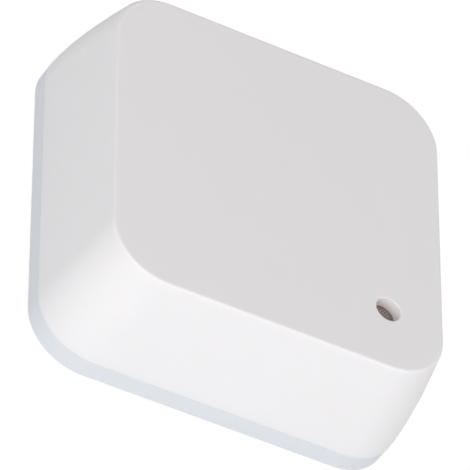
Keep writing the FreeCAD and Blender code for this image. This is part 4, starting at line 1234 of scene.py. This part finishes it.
# Two tapered springs of round tinned wire press on the cells' flat ends. Each is wound from a
# wide first turn on its contact to a narrow last turn on the cell.
wire = 0.5 * mm
spring_base = 3.6 * mm
spring_tip = 1.7 * mm
spring_climb = 2.1 * mm
spring_turns = 2.5
points_in_turn = 24
point_count = int(spring_turns * points_in_turn) + 1
for node, x, way in (("negative_spring", -cell_x, 1), ("bridge_spring", cell_x, -1)):
    start_y = -way * (inner_half - contact_thickness - wire / 2)
    line = bpy.data.curves.new(node, "CURVE")
    set_up(line, dimensions="3D", bevel_depth=wire / 2, bevel_resolution=5, use_fill_caps=True)
    winding = line.splines.new("NURBS")
    winding.points.add(point_count - 1)
    for number in range(point_count):
        share = number / (point_count - 1)
        radius = spring_base + (spring_tip - spring_base) * share
        angle = 2 * math.pi * spring_turns * share
        winding.points[number].co = (x + way * radius * math.cos(angle),
                                     start_y + way * spring_climb * share,
                                     cell_z + radius * math.sin(angle), 1)
    set_up(winding, order_u=4, use_endpoint_u=True, resolution_u=3)
    only(new_object("wound_" + node, line))
    bpy.ops.object.convert(target="MESH")
    finish(bpy.context.active_object, "wound_" + node, tinned, "tinned_metal", node, angle=50.0)

# Two small round cells lie side by side, head to tail. Each is a nickel-plated steel can with a
# drawn nub, in a thin plastic shrink sleeve.
can_radius = 4.97 * mm
sleeve_outer = 5.25 * mm
sleeve_inner = 5.0 * mm
sleeve_edge = 0.12 * mm
cell_length = cell_high[1] - cell_low[1]
sleeve_low = 1.1 * mm
sleeve_high = cell_length - 2.1 * mm
shoulder = cell_length - 1.0 * mm
groove_floor = shoulder - 0.15 * mm
nub_radius = 1.9 * mm
tail_y = cell_low[1]
cell_steel = plated_metal(
    "drawn_cell_steel", (0.66, 0.65, 0.62), 0.3, 0.12 * mm, (1, 0.08, 1))


def shrink_film(name, nub_way):
    """Glossy grey-blue shrink film with a plain silver band towards the nub."""
    material, coordinates = new_material(name)
    towards_nub = reckon("MULTIPLY", along_axes(coordinates)[1], nub_way)
    band = reckon("GREATER_THAN", towards_nub, 13.0 * mm)
    fine = noise(coordinates, 0.8 * mm)
    return painted(material, {
        "Base Color": blend(band, (0.07, 0.085, 0.11), (0.42, 0.43, 0.44)),
        "Roughness": between(fine, 0.16, 0.28),
        "Normal": relief(fine, 0.01 * mm),
    })


can_steps = turned_edge(can_radius, 0, 0.35 * mm, False)
can_steps += [
    (can_radius, shoulder - 0.6 * mm), (4.85 * mm, shoulder - 0.3 * mm),
    (4.6 * mm, shoulder - 0.08 * mm), (4.35 * mm, shoulder), (2.6 * mm, shoulder),
    (2.5 * mm, groove_floor), (2.05 * mm, groove_floor), (1.95 * mm, shoulder),
    (nub_radius, shoulder + 0.1 * mm),
]
can_steps += turned_edge(nub_radius, cell_length, 0.3 * mm, True)
for node, x, nub_way in (("left_cell", -cell_x, 1), ("right_cell", cell_x, -1)):
    can = turned(can_steps, 0, 0, 96)
    sleeve = slug(sleeve_outer, sleeve_low, sleeve_high, sleeve_edge, 0, 0, 96)
    cut(sleeve, drill(sleeve_inner, 0, cell_length, 0, 0, 96))
    for piece in (can, sleeve):
        piece.rotation_euler = (-quarter * nub_way, 0, 0)
        piece.location = (x, tail_y * nub_way, cell_z)
    film = shrink_film(node + "_film", nub_way)
    finish(can, "drawn_" + node, cell_steel, "cell_steel", node)
    finish(sleeve, "shrunk_" + node + "_sleeve", film, "cell_sleeve", node + "_sleeve")

# The stage is a plain pale floor under a soft sky, with one large soft lamp to the lower left in
# the picture. The sky is brighter towards the object's lower side. The floor glows white to the
# camera and in reflections, and keeps a little of the shadow.
floor = added(bpy.ops.mesh.primitive_plane_add, size=8.0, location=(0, 0, -0.02 * mm))
floor.name = "floor"
floor_material = new_material("pale_floor")[0]
floor_tree = floor_material.node_tree
painted(floor_material, {"Base Color": (0.655, 0.68, 0.70, 1.0), "Roughness": 0.9})
glow = new_node("Emission", {"Strength": 1.1}, floor_tree)[0]
ray = new_node("LightPath", {}, floor_tree)
seen = reckon("MAXIMUM", ray["Is Camera Ray"], ray["Is Glossy Ray"])
seen = reckon("MAXIMUM", seen, ray["Is Transmission Ray"])
glow_share = reckon("MULTIPLY", seen, 0.85)
plain = floor_tree.nodes["Principled BSDF"].outputs[0]
mixed = new_node("MixShader", {"Fac": glow_share, 1: plain, 2: glow})[0]
fill(floor_tree.nodes["Material Output"], {"Surface": mixed})
floor.data.materials.append(floor_material)

sky_level = 0.779
sky_slope = 0.70
sky_bright_side = (0.0, -1.0, 0.0)
sky = bpy.data.worlds.new("soft_sky")
sky.use_nodes = True
sky_tree = sky.node_tree
sky_inputs = {0: new_node("TexCoord", {}, sky_tree)["Generated"], 1: sky_bright_side}
sky_side = new_node("VectorMath", sky_inputs, operation="DOT_PRODUCT")["Value"]
sky_share = reckon("MULTIPLY_ADD", sky_side, sky_level * sky_slope, sky_level)
fill(sky_tree.nodes["Background"], {"Color": (1.0, 0.99, 0.995, 1.0), "Strength": sky_share})
bpy.context.scene.world = sky

lamp_way = Vector((-0.583, -0.694, 0.423)).normalized()
lamp_distance = 0.45
lamp_level = 0.181
lamp_light = bpy.data.lights.new("soft_lamp", "AREA")
set_up(lamp_light, shape="DISK", size=0.2,
       energy=lamp_level * math.pi ** 2 * lamp_distance ** 2)
lamp = new_object("soft_lamp", lamp_light)
lamp.location = lamp_way * lamp_distance
lamp.rotation_euler = lamp_way.to_track_quat("Z", "Y").to_euler()

# The camera looks down at the left and lower sides through a long lens, rolled on its own axis.
# It stands well back, so that the far sides of the housing hardly draw in.
view_azimuth = math.radians(-29.49)
view_elevation = math.radians(40.69)
view_roll = math.radians(41.02)
view_distance = 0.7814
aim = Vector((-0.000740, -0.001197, 0.0091025))
away = Vector((
    math.cos(view_elevation) * math.sin(view_azimuth),
    -math.cos(view_elevation) * math.cos(view_azimuth),
    math.sin(view_elevation),
))
lens = set_up(bpy.data.cameras.new("camera"), lens=420.5, sensor_width=36.0, clip_end=20.0)
camera = new_object("camera", lens)
camera.location = aim + away * view_distance
camera.rotation_mode = "QUATERNION"
turned_back = (-away).to_track_quat("-Z", "Y")
camera.rotation_quaternion = turned_back @ Quaternion((0.0, 0.0, 1.0), view_roll)
bpy.context.scene.camera = camera
bpy.context.scene.view_settings.view_transform = "Standard"
